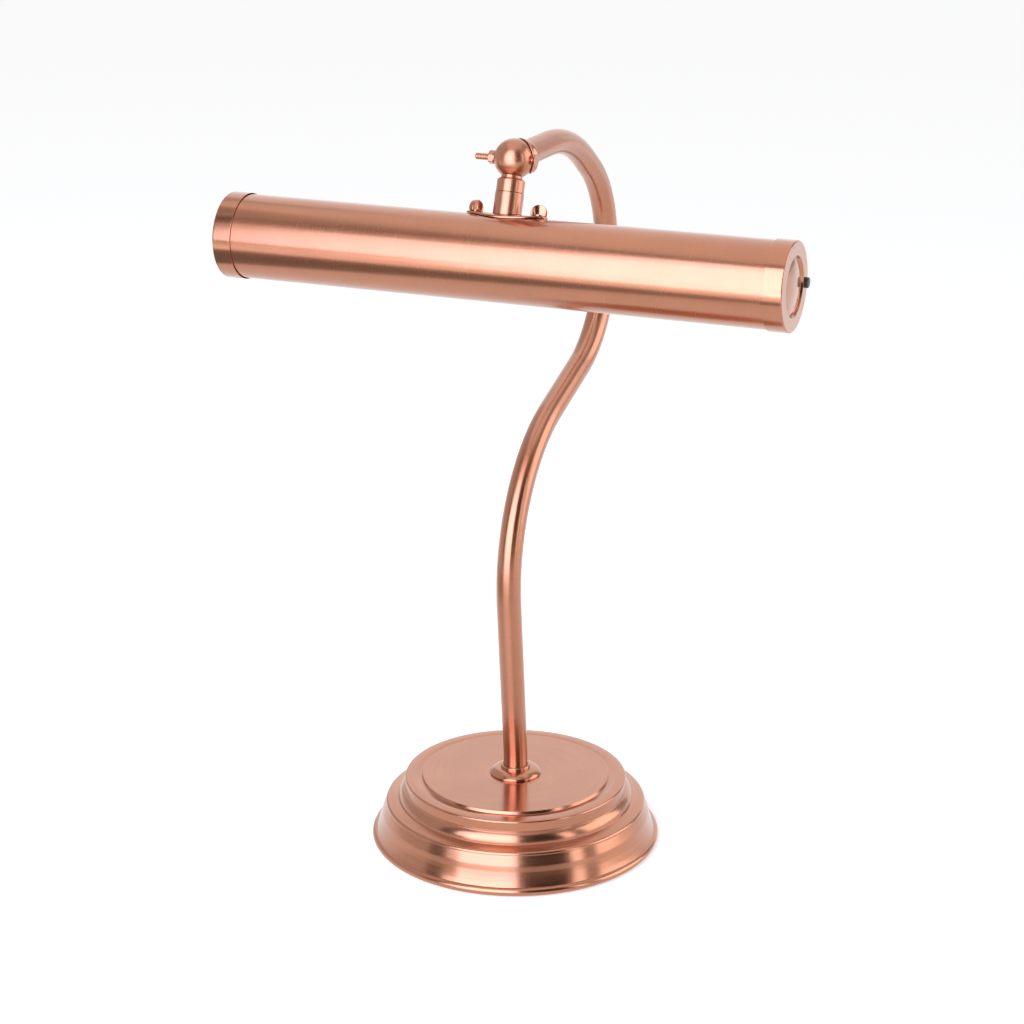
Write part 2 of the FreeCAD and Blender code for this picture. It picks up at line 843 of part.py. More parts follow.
def felt_pad():
    """Felt disc that the lamp stands on."""
    return rod("felt_pad", size.felt_radius, 0, size.felt_thickness)


def stem_collar():
    """Domed rosette round the stem's foot, with a small raised lip."""
    bore = size.stem_radius + size.collar_gap
    lip = bore + size.collar_lip_wall
    level = size.base_height
    dome = level + size.collar_dome_height
    top = level + size.collar_height
    lip_top = top - size.collar_lip_chamfer
    return turned("stem_collar", [
        (bore, level),
        (size.collar_radius, level),
        (size.collar_radius, level + size.collar_rim, size.collar_dome_curve, 1),
        (lip + size.collar_step, dome),
        (lip, dome),
        (lip, lip_top),
        (lip - size.collar_lip_chamfer, top),
        (bore, top),
    ])


def stem_tube():
    """Bent tube along the stem's centre line."""
    body = doc.addObject("PartDesign::Body", "stem_tube")
    spine = sketch_on(body, "YZ_Plane")
    outline(spine, stem.corners(), closed=False)
    for kind, radius in (("AdditivePipe", size.stem_radius), ("SubtractivePipe", stem_bore)):
        ring = sketch_on(body, "XY_Plane", size.base_height)
        circle = ring.addGeometry(Part.Circle(FreeCAD.Vector(), FreeCAD.Vector(0, 0, 1), radius.number))
        ring.addConstraint(Sketcher.Constraint("Coincident", circle, 3, -1, 1))
        number = ring.addConstraint(Sketcher.Constraint("Radius", circle, radius.number))
        ring.setExpression(f"Constraints[{number}]", radius.formula)
        pipe = body.newObject(f"PartDesign::{kind}", kind)
        pipe.Profile = ring
        pipe.Spine = spine
    return body


def tube_ring(label, outer, inner, low, high):
    """A plain ring about Z."""
    return turned(label, [(inner, low), (outer, low), (outer, high), (inner, high)])


def stem_fastening():
    """Bush in the stem's foot, hollow rod through base and weight, washer and nut."""
    level = size.base_height
    height = size.stem_nut_height
    return [
        tube_ring("stem_bush", bush_radius, thread_hole, level, level + size.bush_length),
        tube_ring("stem_nipple", size.nipple_radius, size.nipple_bore,
                  level - size.nipple_drop, level + size.nipple_rise),
        tube_ring("stem_washer", size.stem_washer_radius, bolt_hole, washer_level, size.web_height),
        nut("stem_nut", "XY_Plane", size.stem_nut_across, washer_level - height, height, thread_hole),
    ]


def cable_grommet():
    """Rubber ring in the back of the flare, for the mains cord."""
    outer_seat = size.inlet_gap
    inner_seat = -(flare_wall + size.inlet_gap)
    face = outer_seat + size.inlet_flange_thickness
    edge = size.inlet_flange_thickness / 2
    grommet = turned("cable_grommet", [
        (size.inlet_bore, inner_seat - size.inlet_inner_thickness),
        (size.inlet_inner_flange, inner_seat - size.inlet_inner_thickness),
        (size.inlet_inner_flange, inner_seat),
        (size.inlet_neck, inner_seat),
        (size.inlet_neck, outer_seat),
        (size.inlet_flange, outer_seat),
        (size.inlet_flange, face - edge, edge, 1),
        (size.inlet_flange - edge, face),
        (size.inlet_bore, face),
    ])
    return place(grommet, inlet)


def small_screw(label, x, y, head_top):
    """A cap screw that goes up into the web from a seat at head_top."""
    head_low = head_top - size.small_screw_head_height
    tip = size.web_height + size.small_screw_grip
    head = rod(f"{label}_head", size.small_screw_head, head_low, head_top, x=x, y=y)
    shank = rod(f"{label}_shank", size.small_screw_radius, head_top, tip, x=x, y=y)
    return fuse(label, head, shank)


def terminal_block():
    """Moulded block under the web, with its terminal and fixing holes."""
    low, high = size.web_height - size.block_height, size.web_height
    front, back = size.block_middle - size.block_depth / 2, size.block_middle + size.block_depth / 2
    body = block("block_moulding", both_ways(size.block_width / 2), (front, back), (low, high))
    terminal_hole = size.terminal_radius + size.thread_gap
    screw_hole = size.small_screw_radius + size.thread_gap
    holes = [
        rod(f"terminal_hole_{index}", terminal_hole, low - MARGIN, low + size.terminal_length, x=x, y=y)
        for index, (x, y) in enumerate(TERMINALS)
    ]
    for index, (x, y) in enumerate(WEB_SCREWS[:2]):
        holes.append(rod(f"block_hole_{index}", screw_hole, low - MARGIN, high + MARGIN, x=x, y=y))
    return cut("terminal_block", body, *holes)


def terminal_screws():
    """Six terminal screws, just below the block's face."""
    face = size.web_height - size.block_height
    low, high = face + size.plate_gap, face + size.terminal_length
    return group("terminal_screws", [
        rod(f"terminal_screw_{index}", size.terminal_radius, low, high, x=x, y=y)
        for index, (x, y) in enumerate(TERMINALS)
    ])


def cord_clamp():
    """Bar that holds the cord up against the web."""
    low, high = size.web_height - size.clamp_height, size.web_height
    front, back = size.clamp_middle - size.clamp_depth / 2, size.clamp_middle + size.clamp_depth / 2
    body = block("clamp_moulding", both_ways(size.clamp_width / 2), (front, back), (low, high))
    groove = rod("clamp_groove", size.cord_groove_radius, front - MARGIN, back + MARGIN, "y", z=high)
    screw_hole = size.small_screw_radius + size.thread_gap
    holes = [
        rod(f"clamp_hole_{index}", screw_hole, low - MARGIN, high + MARGIN, x=x, y=y)
        for index, (x, y) in enumerate(WEB_SCREWS[2:4])
    ]
    return cut("cord_clamp", body, groove, *holes)


def wiring_fixings():
    """Screws of the block and clamp, and the earth tag with its screw."""
    block_face = size.web_height - size.block_height
    clamp_face = size.web_height - size.clamp_height
    earth_face = size.web_height - size.earth_tag_thickness
    block_pair = [
        small_screw(f"block_screw_{index}", x, y, block_face) for index, (x, y) in enumerate(WEB_SCREWS[:2])
    ]
    clamp_pair = [
        small_screw(f"clamp_screw_{index}", x, y, clamp_face) for index, (x, y) in enumerate(WEB_SCREWS[2:4])
    ]
    earth_x, earth_y = WEB_SCREWS[4]
    tag = tube_ring("earth_tag", size.earth_tag_radius, size.small_screw_radius + size.thread_gap,
                    earth_face, size.web_height)
    bind_all(tag, {"Placement.Base.x": earth_x, "Placement.Base.y": earth_y})
    return [
        group("block_screws", block_pair),
        group("clamp_screws", clamp_pair),
        tag,
        small_screw("earth_screw", earth_x, earth_y, earth_face),
    ]


def stem_lead():
    """Lead from the block down, round, up through the nipple and along the stem."""
    low = size.web_height - size.block_height
    turn_level = low - size.lead_drop
    half = size.block_middle / 2
    down = [
        Part.LineSegment(
            FreeCAD.Vector(0, size.block_middle.number, low.number),
            FreeCAD.Vector(0, size.block_middle.number, turn_level.number)).toShape(),
        Part.Arc(
            FreeCAD.Vector(0, size.block_middle.number, turn_level.number),
            FreeCAD.Vector(0, half.number, (turn_level - half).number),
            FreeCAD.Vector(0, 0, turn_level.number)).toShape(),
        Part.LineSegment(
            FreeCAD.Vector(0, 0, turn_level.number),
            FreeCAD.Vector(0, 0, size.base_height.number)).toShape(),
    ]
    end = Part.LineSegment(
        FreeCAD.Vector(0, stem.y.number, stem.z.number),
        FreeCAD.Vector(0, (ball_y + cup_inside + size.lead_gap).number, stem.z.number),
    ).toShape()
    return sweep("stem_lead", down + stem.edges() + [end], size.lead_radius)


def arm_cup():
    """Cup that holds the ball from behind and on the right, on a spigot in the stem."""
    reach = cup_reach
    outside = fuse(
        "cup_outside",
        globe("cup_globe", cup_radius, size.cup_shift),
        rod("cup_boss", size.stem_radius, 0, reach, "y"),
        rod("cup_spigot", stem_bore - size.fit_gap, reach, reach + size.spigot_length, "y"),
    )
    far = cup_radius * FAR
    front = prism("cup_front", "XY_Plane", [
        (-far, -far), (size.cup_rim, -far), (size.cup_rim, far), (-far, far),
    ], 0, far, middle=True)
    front.Placement = FreeCAD.Placement(
        FreeCAD.Vector(), FreeCAD.Rotation(FreeCAD.Vector(0, 0, 1), size.cup_turn.number))
    front.setExpression("Placement.Rotation.Angle", size.cup_turn.formula)
    slot = block("cup_slot", both_ways(size.neck_radius + size.cup_slot_gap),
                 (-far, cup_radius - size.cup_slot_inset), (-far, -size.cup_slot_top))
    bore = rod("cup_bore", size.lead_radius + size.lead_gap, 0, reach + size.spigot_length + MARGIN, "y")
    ear = rod("cup_ear_face", cup_radius, pivot_face, far, "x")
    sink = pivot_profile("cup_sink", size.thread_gap)
    cup_hollow = globe("cup_hollow", cup_inside)
    return place(cut("arm_cup", outside, cup_hollow, front, slot, bore, ear, sink), cup)


def pivot_profile(label, gap=0):
    """The clamp screw's form about X, or the room for it with a gap all round."""
    shank, head = size.pivot_radius + gap, size.pivot_head + gap
    mouth = pivot_face + MARGIN
    face = [(mouth, head), (mouth, 0)] if gap else [(pivot_face, 0)]
    return turned(label, [
        (pivot_tip, 0),
        (pivot_tip, shank - size.pivot_end_chamfer),
        (pivot_tip + size.pivot_end_chamfer, shank),
        (pivot_face - size.pivot_head_height, shank),
        (pivot_face, head),
        *face,
    ], "H_Axis")


def clamp_screw():
    """Clamp screw through cup and ball, with its washer and nut on the left."""
    outside = size.pivot_washer_radius
    washer = turned("pivot_washer", [
        (pivot_nut_face, pivot_hole), (pivot_nut_face, outside),
        (pivot_washer_face, outside), (pivot_washer_face, pivot_hole),
    ], "H_Axis")
    across, height = size.pivot_nut_across, size.pivot_nut_height
    ball_nut = nut("pivot_nut", "YZ_Plane", across, pivot_nut_face - height, height, pivot_hole)
    return [place(pivot_profile("pivot_bolt"), cup), place(washer, cup), place(ball_nut, cup)]


def knuckle_ball():
    """Ball, waist and upper neck in one, bored for the lead and the swivel."""
    grip = -(neck_bottom - size.swivel_grip)
    ball_turning = turned("ball_turning", [
        (0, size.ball_radius, size.ball_radius, -1),
        (size.waist_radius, -waist_level),
        (size.waist_radius, -neck_top),
        (size.neck_radius - size.neck_chamfer, -neck_top),
        (size.neck_radius, -(neck_top + size.neck_chamfer)),
        (size.neck_radius, -neck_bottom),
        (thread_hole, -neck_bottom),
        (thread_hole, grip),
        (size.ball_bore, grip),
        (size.ball_bore, -size.ball_bore_top),
        (0, -size.ball_bore_top),
    ])
    far = size.ball_radius * FAR
    pivot = rod("ball_pivot_hole", pivot_hole, -far, far, "x")
    flat = block("ball_flat_cut", (-far, -ball_flat), both_ways(far), both_ways(size.ball_radius))
    slot = block("ball_slot", both_ways(size.ball_slot_half), (size.ball_slot_front, far),
                 both_ways(size.ball_slot_height))
    return place(cut("knuckle_ball", ball_turning, pivot, flat, slot), head)


def swivel():
    """Hollow screw in the neck that the shade turns on, with its washer and nut."""
    top = size.shade_drop - neck_bottom + size.swivel_grip
    height = size.swivel_nut_height
    pieces = [
        tube_ring("swivel_nipple", size.nipple_radius, size.swivel_bore, swivel_end, top),
        tube_ring("swivel_washer", size.swivel_washer_radius, bolt_hole, swivel_washer_bottom, web_bottom),
        nut("swivel_nut", "XY_Plane", size.swivel_nut_across, swivel_nut_bottom, height, thread_hole),
    ]
    return [place(piece, shade) for piece in pieces]


def neck_sleeve():
    """Lower neck, hollowed below to sit on the saddle."""
    top = size.shade_drop - neck_bottom - size.swivel_gap
    sleeve = rod("sleeve_outside", size.sleeve_radius, shade_bore, top)
    bore = rod("sleeve_bore", size.nipple_radius + size.run_gap, shade_bore - MARGIN, top + MARGIN)
    seat = rod("sleeve_seat", saddle_top + size.saddle_seat, *both_ways(size.sleeve_radius * FAR), "x")
    return place(cut("neck_sleeve", sleeve, bore, seat), shade)


def saddle_plate():
    """Oval plate curved to the shade, with holes for the neck and the thumb screws."""
    reach = size.saddle_half_length + size.saddle_end_curve
    band = turned("saddle_band", [
        (-reach, saddle_inside), (reach, saddle_inside), (reach, saddle_top), (-reach, saddle_top),
    ], "H_Axis")
    corner, end = size.saddle_half_length, size.saddle_end_half
    plan = prism("saddle_plan", "XY_Plane", [
        (-corner, -end, size.saddle_side_curve, 1),
        (corner, -end, size.saddle_end_curve, 1),
        (corner, end, size.saddle_side_curve, 1),
        (-corner, end, size.saddle_end_curve, 1),
    ], 0, saddle_top + MARGIN)
    holes = clamp_holes("saddle", thumb_hole)
    return place(cut("saddle_plate", common("saddle_oval", band, plan), *holes), shade)


def clamp_holes(name, screw_hole):
    """Holes down through what the thumb screws clamp, and the swivel's hole."""
    low, high = bar_bottom - MARGIN, saddle_top + MARGIN
    holes = [rod(f"{name}_hole_{side}", screw_hole, low, high, x=x) for side, x in shade_holes]
    return holes + [rod(f"{name}_hole_middle", bolt_hole, low, high)]


def clamp_bar():
    """Threaded bar inside the shade, drawn up by the thumb screws."""
    bar = block("bar_blank", both_ways(size.bar_half_length), both_ways(size.bar_half_width),
                (bar_bottom, bar_top))
    return place(cut("clamp_bar", bar, *clamp_holes("bar", size.thumb_radius + size.run_gap)), shade)


def shade_tube():
    """Round tube with a long slot that faces down and back."""
    half = size.shade_half
    tube = turned("shade_drawing", [
        (-half, shade_bore), (half, shade_bore), (half, size.shade_radius), (-half, size.shade_radius),
    ], "H_Axis")
    long, wide, corner = size.shade_half - size.slot_margin, size.slot_width / 2, size.slot_corner
    slot = prism("shade_slot", "XY_Plane", [
        (-long, -(wide - corner), corner, 1),
        (-(long - corner), -wide),
        (long - corner, -wide, corner, 1),
        (long, -(wide - corner)),
        (long, wide - corner, corner, 1),
        (long - corner, wide),
        (-(long - corner), wide, corner, 1),
        (-long, wide - corner),
    ], -(size.shade_radius + MARGIN), size.shade_radius)
    place(slot, Frame(0, 0, -size.slot_turn))
    return place(cut("shade_tube", tube, slot, *clamp_holes("tube", thumb_hole)), shade)


def end_cap(side, way):
    """Turned cap with a raised rim and a slightly domed face; way is 1 on the right."""
    recess = cap_face - size.cap_recess_depth
    crown = recess + size.cap_dome
    radius = cap_outside - size.cap_rim_width
    dome = (radius * radius + size.cap_dome * size.cap_dome) / (size.cap_dome * 2)
    rim = cap_outside - size.cap_corner
    profile = [
        (cap_start, cap_inside),
        (cap_floor, cap_inside),
        (cap_floor, 0),
        (crown, 0, dome, way),
        (recess, radius),
        (cap_face, radius + size.cap_recess_slope),
        (cap_face, rim, size.cap_corner, way),
        (cap_face - size.cap_corner, cap_outside),
        (cap_start, cap_outside),
    ]
    turning = [(as_size(x) * way, *rest) for x, *rest in profile]
    if way < 0:
        return place(turned("end_cap_left", turning, "H_Axis"), shade)
    hole = rod("button_hole", button_hole, cap_floor - MARGIN, cap_face + MARGIN, "x", y=button_circle)
    return place(cut("end_cap_right", turned("cap_turning", turning, "H_Axis"), hole), switch)


def lampholder_bracket():
    """Folded strip under the clamp bar that carries both lampholders."""
    half, low = size.bracket_half, -size.bracket_bottom
    strip = prism("bracket_strip", "XZ_Plane", [
        (-half, low), (-leg_inside, low), (-leg_inside, web_bottom), (leg_inside, web_bottom),
        (leg_inside, low), (half, low), (half, bar_bottom), (-half, bar_bottom),
    ], 0, size.bracket_half_width * 2, middle=True)
    legs = rod("bracket_leg_holes", size.nipple_radius + size.fit_gap, *both_ways(half + MARGIN), "x")
    middle = rod("bracket_middle_hole", bolt_hole, web_bottom - MARGIN, bar_bottom + MARGIN)
    return place(cut("lampholder_bracket", strip, legs, middle), shade)


def turned_both_ways(label, profile):
    """A turning about X on the right, and its mirror image on the left."""
    pieces = []
    for side, way in SIDES:
        points = []
        for x, radius, *curve in profile:
            arc = (curve[0], curve[1] * way) if curve else ()
            points.append((as_size(x) * way, radius, *arc))
        pieces.append(turned(f"{label}_{side}", points, "H_Axis"))
    return pieces


def holder_fixings():
    """Hollow screws and nuts that hold the lampholders to the bracket's legs."""
    nipples = turned_both_ways("holder_nipple", [
        (size.holder_nipple_start, size.swivel_bore), (size.holder_nipple_end, size.swivel_bore),
        (size.holder_nipple_end, size.nipple_radius), (size.holder_nipple_start, size.nipple_radius),
    ])
    height = size.holder_nut_height
    nuts = [
        nut(f"holder_nut_{side}", "YZ_Plane", size.holder_nut_across, low, height, thread_hole)
        for side, low in (("right", leg_inside - height), ("left", -leg_inside))
    ]
    return [place(group("holder_nipples", nipples), shade), place(group("holder_nuts", nuts), shade)]


def lampholders():
    """Two turned lampholders with a socket for the lamp's cap."""
    start, end, edge = size.bracket_half, size.holder_end, size.holder_chamfer
    pieces = turned_both_ways("lampholder", [
        (start, thread_hole),
        (start, size.holder_radius - edge),
        (start + edge, size.holder_radius),
        (end - edge, size.holder_radius),
        (end, size.holder_radius - edge),
        (end, size.holder_bore),
        (size.holder_floor, size.holder_bore),
        (size.holder_floor, 0),
        (size.holder_nipple_end + size.swivel_clear, 0),
        (size.holder_nipple_end + size.swivel_clear, thread_hole),
    ])
    return [place(piece, shade) for piece in pieces]


def lamps():
    """Two tubular filament lamps: cap, glass and filament."""
    start, end = size.lamp_cap_start, size.lamp_cap_end
    taper, cap = size.lamp_cap_taper, size.lamp_cap_radius
    caps = turned_both_ways("bulb_cap", [
        (start, 0), (start, cap - taper), (start + taper, cap), (end, cap), (end, 0),
    ])
    wall, glass = size.lamp_glass_wall, size.lamp_glass_radius
    round_start = size.lamp_glass_end - glass
    glasses = turned_both_ways("bulb_glass", [
        (end, size.lamp_neck_radius - wall),
        (end, size.lamp_neck_radius),
        (size.lamp_neck_end, size.lamp_neck_radius),
        (size.lamp_shoulder_end, glass),
        (round_start, glass, glass, -1),
        (size.lamp_glass_end, 0),
        (size.lamp_glass_end - wall, 0, glass - wall, 1),
        (round_start, glass - wall),
        (size.lamp_shoulder_end, glass - wall),
        (size.lamp_neck_end, size.lamp_neck_radius - wall),
    ])
    filaments = []
    for side, way in SIDES:
        low, high = size.lamp_cap_end * way, size.filament_end * way
        half = size.filament_half
        corners = [(low, 0, -half), (high, 0, -half), (high, 0, half), (low, 0, half)]
        line = rounded(corners, [size.filament_bend, size.filament_bend])
        filaments.append(sweep(f"filament_{side}", line, size.filament_radius, shade))
    return [place(piece, shade) for piece in caps + glasses] + filaments


def switch_body():
    """Push switch behind the right cap, round the button's stem."""
    length, width = (switch_front - size.switch_length, switch_front), both_ways(size.switch_half_width)
    housing = block("switch_housing", length, (size.switch_inner, shade_bore - size.switch_clear), width)
    collar = rod("switch_collar", size.switch_collar_radius, switch_front, cap_floor, "x", y=button_circle)
    bore_end = button_back - size.button_stem_length - size.button_travel - MARGIN
    mouth_end = cap_floor + MARGIN
    bore = rod("switch_stem_bore", button_stem_hole, bore_end, mouth_end, "x", y=button_circle)
    mouth = rod("switch_mouth", button_hole, switch_front, mouth_end, "x", y=button_circle)
    return place(cut("switch_body", fuse("switch_outside", housing, collar), bore, mouth), switch)


def switch_button():
    """Black push button with a stem into the switch."""
    end = cap_face + size.button_out
    edge = size.button_edge
    knob = turned("button_knob", [
        (button_back, 0),
        (button_back, size.button_radius),
        (end - edge, size.button_radius, edge, -1),
        (end, size.button_radius - edge),
        (end, 0),
    ], "H_Axis")
    bind_all(knob, {"Placement.Base.y": button_circle})
    tail = button_back - size.button_stem_length
    stem_rod = rod("button_stem", size.button_stem_radius, tail, button_back, "x", y=button_circle)
    return place(fuse("switch_button", knob, stem_rod), switch)


def wires():
    """Wires from the swivel's bore to the two lampholders and to the switch."""
    radius = size.wire_radius
    top = swivel_end + size.wire_overlap
    lamp_pair = []
    for side, way in SIDES:
        x = size.wire_spread * way
        corners = [
            (x, size.wire_back, top),
            (x, size.wire_back, 0),
            (size.holder_nipple_end * way, size.wire_back, 0),
        ]
        lamp_pair.append(sweep(f"lamp_lead_{side}", rounded(corners, [size.wire_bend]), radius))
    side = -(shade_bore - size.wire_side_gap)
    switch_end = switch_front - size.switch_length
    cross = switch_end - size.wire_lead_in - size.wire_sweep
    button_y = button_circle * cosine(size.button_turn)
    button_z = button_circle * sine(size.button_turn)
    corners = [
        (0, -size.wire_front, top),
        (0, -size.wire_front, button_z),
        (0, side, button_z),
        (cross, side, button_z),
        (cross, button_y, button_z),
        (switch_end, button_y, button_z),
    ]
    bends = [size.wire_bend, size.wire_bend, size.wire_sweep, size.wire_sweep]
    return [
        place(group("lamp_leads", lamp_pair), shade),
        sweep("switch_lead", rounded(corners, bends), radius, shade),
    ]


def thumb_screw(side, x, turn):
    """Thumb screw: round collar and shank, and a flat head with dished faces."""
    seat = saddle_top + size.thumb_gap
    head_low = seat + size.thumb_collar_height
    flare = head_low + size.thumb_head_flare
    half = size.thumb_head_half
    turning = turned(f"thumb_turning_{side}", [
        (0, bar_bottom - size.thumb_overhang),
        (size.thumb_radius, bar_bottom - size.thumb_overhang),
        (size.thumb_radius, seat),
        (size.thumb_collar_radius, seat),
        (size.thumb_collar_radius, head_low),
        (0, head_low),
    ])
    leaf = prism(f"thumb_leaf_{side}", "XZ_Plane", [
        (-size.thumb_root_half, head_low),
        (size.thumb_root_half, head_low),
        (half, flare, size.thumb_head_curve, 1),
        (-half, flare),
    ], 0, size.thumb_head_thickness, middle=True)
    dish_middle = size.thumb_head_thickness / 2 + size.thumb_dish_curve - size.thumb_dish_depth
    dishes = [
        rod(f"thumb_dish_{side}_{face}", size.thumb_dish_curve, -half * 2, half * 2, "x",
            y=dish_middle * way, z=flare + half / 2)
        for face, way in (("front", -1), ("back", 1))
    ]
    head_piece = cut(f"thumb_head_{side}", leaf, *dishes)
    whole = fuse(f"thumb_form_{side}", turning, head_piece)
    whole.Placement = FreeCAD.Placement(
        FreeCAD.Vector(x.number, 0, 0), FreeCAD.Rotation(FreeCAD.Vector(0, 0, 1), turn.number))
    whole.setExpression("Placement.Rotation.Angle", turn.formula)
    bind_all(whole, {"Placement.Base.x": x})
    return place(group(f"thumb_screw_{side}", [whole]), shade)


stand = [
    base_shell(), base_weight(), base_plate(), plate_screws(), felt_pad(), stem_collar(), stem_tube(),
    *stem_fastening(), cable_grommet(), terminal_block(), terminal_screws(), cord_clamp(),
    *wiring_fixings(), stem_lead(), arm_cup(), *clamp_screw(),
]
knuckle = [knuckle_ball(), *swivel()]
head_pieces = [
    neck_sleeve(), saddle_plate(), clamp_bar(), shade_tube(), *(end_cap(side, way) for side, way in SIDES),
    lampholder_bracket(), *holder_fixings(), *lampholders(), *lamps(), switch_body(), switch_button(),
    *wires(),
    thumb_screw("left", -size.thumb_spread, size.thumb_left_turn),
    thumb_screw("right", size.thumb_spread, size.thumb_right_turn),
]
nodes = stand + knuckle + head_pieces

# Every object is sound before anything is written
doc.recompute()
faults = [item.Label for item in doc.Objects if {"Invalid", "Error"} & set(item.State)]
faults += [item.Label for item in nodes if item.Shape.isNull() or not item.Shape.isValid()]
if faults:
    raise RuntimeError(f"pieces that failed: {faults}")
for item in nodes:
    item.Shape.exportStep(f"parts/{item.Label}.step")
print(f"{len(nodes)} pieces, ball centre at {ball_y.number:.2f}, {ball_z.number:.2f}")
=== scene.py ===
"""Piano lamp in brushed copper: the looks, built round its packed construction.

Lengths are written in millimetres and turned to metres where a mesh is made. +Z is up,
+X runs along the shade and -Y is the front, as in the construction itself.
"""

import json
import logging
import math
from dataclasses import dataclass, field, replace
from enum import Enum
from typing import Callable, Sequence

import bmesh
import bpy
import numpy as np
from mathutils import Matrix, Vector


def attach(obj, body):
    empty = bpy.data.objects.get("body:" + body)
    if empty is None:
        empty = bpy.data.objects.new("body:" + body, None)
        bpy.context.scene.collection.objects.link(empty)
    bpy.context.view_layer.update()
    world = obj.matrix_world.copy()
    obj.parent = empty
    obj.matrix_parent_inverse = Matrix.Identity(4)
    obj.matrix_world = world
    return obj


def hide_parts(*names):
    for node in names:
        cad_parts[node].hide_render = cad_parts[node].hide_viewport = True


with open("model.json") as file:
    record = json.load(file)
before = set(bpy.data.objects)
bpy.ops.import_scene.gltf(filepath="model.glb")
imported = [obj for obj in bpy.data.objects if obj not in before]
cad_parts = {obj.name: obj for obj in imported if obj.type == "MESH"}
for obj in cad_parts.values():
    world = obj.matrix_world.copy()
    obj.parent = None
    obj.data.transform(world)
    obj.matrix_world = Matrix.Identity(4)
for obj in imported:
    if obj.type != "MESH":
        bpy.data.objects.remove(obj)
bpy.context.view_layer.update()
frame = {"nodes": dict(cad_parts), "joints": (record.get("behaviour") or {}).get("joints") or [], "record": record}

MM = 0.001
# the attribute and the UV map that brushed finishes follow
LAY = "lay"
SURFACE = "surface"
# degrees of an arc's step, and steps on each side of a point that are averaged with it
ARC_STEP = 3.0
AVERAGE_STEPS = 5
WHITE = (1.0, 1.0, 1.0, 1.0)
log = logging.getLogger("piano_lamp")


# Lines and surfaces worked out as whole arrays


@dataclass(frozen=True)
class Line:
    """A flat line with its outward normals and its running length, in millimetres."""

    points: np.ndarray
    normals: np.ndarray
    lengths: np.ndarray
    closed: bool

    def without_normals(self) -> "Line":
        """The same line, with its surface's normals left for Blender to work out."""
        return replace(self, normals=self.normals * 0)


def ends_of(chosen: np.ndarray) -> tuple[int, int]:
    """First and last place that is chosen."""
    places = np.flatnonzero(chosen)
    return int(places[0]), int(places[-1])


def running_length(points: np.ndarray) -> np.ndarray:
    """Length along a line up to each of its points."""
    return np.concatenate([[0.0], np.cumsum(np.hypot(*np.diff(points, axis=0).T))])


def arc_points(start: Sequence[float], end: Sequence[float], radius: float, side: int) -> np.ndarray:
    """Points of the short arc from start to end: centre plus radius times (cos, sin) of even angles.

    Args:
        start: First point, which is left out.
        end: Last point.
        radius: Radius of the arc.
        side: 1 where the centre is on the left of the way from start to end, else -1.

    Returns:
        An array of points, end among them.
    """
    first, last = np.array(start[:2], float), np.array(end[:2], float)
    chord = last - first
    length = np.hypot(*chord)
    across = np.array([-chord[1], chord[0]]) / length * side
    centre = (first + last) / 2 + across * math.sqrt(max(radius**2 - length**2 / 4, 0.0))
    begin = math.atan2(*(first - centre)[::-1])
    sweep = 2 * math.asin(min(length / 2 / radius, 1.0)) * side
    steps = max(int(abs(math.degrees(sweep)) / ARC_STEP), 2)
    angles = begin + sweep * np.arange(1, steps + 1) / steps
    return centre + radius * np.column_stack([np.cos(angles), np.sin(angles)])


def rounded_line(corners: Sequence[Sequence[float]], rounding: float, closed: bool = False,
                 turn: float = 7.0, longest: float = 2.5) -> Line:
    """A line through corners and arcs, with every corner rounded.

    The line is cut into even steps and averaged along itself with a raised cosine as wide as the
    rounding. Its points are then picked so that each step turns by a few degrees at most.

    Args:
        corners: (x, y), or (x, y, radius, side) where an arc starts.
        rounding: Half width of the average, about the radius of a rounded right angle.
        closed: Whether the last corner joins the first.
        turn: Largest turn of a step, in degrees.
        longest: Longest step.

    Returns:
        The line, with normals that point away from what it encloses.
    """
    rough = [np.array([corners[0][:2]], float)]
    for start, end in zip(corners, list(corners[1:]) + ([corners[0]] if closed else [])):
        rough.append(arc_points(start, end, *start[2:]) if len(start) > 2 else np.array([end[:2]], float))
    rough = np.concatenate(rough)
    run = running_length(rough)
    even = np.linspace(0.0, run[-1], int(run[-1] / (rounding / AVERAGE_STEPS)) + 1)
    fine = np.column_stack([np.interp(even, run, values) for values in rough.T])
    weights = 1 + np.cos(np.linspace(-math.pi, math.pi, 2 * AVERAGE_STEPS + 3)[1:-1])
    weights /= weights.sum()
    if closed:
        padded = np.concatenate([fine[-AVERAGE_STEPS - 1:-1], fine, fine[1:AVERAGE_STEPS + 1]])
    else:
        before = 2 * fine[0] - fine[AVERAGE_STEPS:0:-1]
        after = 2 * fine[-1] - fine[-2:-AVERAGE_STEPS - 2:-1]
        padded = np.concatenate([before, fine, after])
    smooth = np.column_stack([np.convolve(values, weights, "valid") for values in padded.T])
    ahead = np.gradient(smooth, axis=0)
    if closed:
        ahead[[0, -1]] = smooth[1] - smooth[-2]
    heading = np.unwrap(np.arctan2(ahead[:, 1], ahead[:, 0]))
    steps = np.hypot(*np.diff(smooth, axis=0).T)
    effort = np.abs(np.diff(heading)) / math.radians(turn) + steps / longest
    total = np.concatenate([[0.0], np.cumsum(effort)])
    picks = np.linspace(0.0, total[-1], max(math.ceil(total[-1]), 3) + 1)
    x, y, angle, lengths = (
        np.interp(picks, total, values) for values in (*smooth.T, heading, running_length(smooth)))
    ring = smooth if closed else np.vstack([smooth, [0.0, smooth[-1, 1]], [0.0, smooth[0, 1]]])
    after = np.roll(ring, -1, axis=0)
    side = math.copysign(1.0, np.sum(ring[:, 0] * after[:, 1] - after[:, 0] * ring[:, 1]))
    normals = side * np.column_stack([np.sin(angle), -np.cos(angle)])
    return Line(np.column_stack([x, y]), normals, lengths, closed)


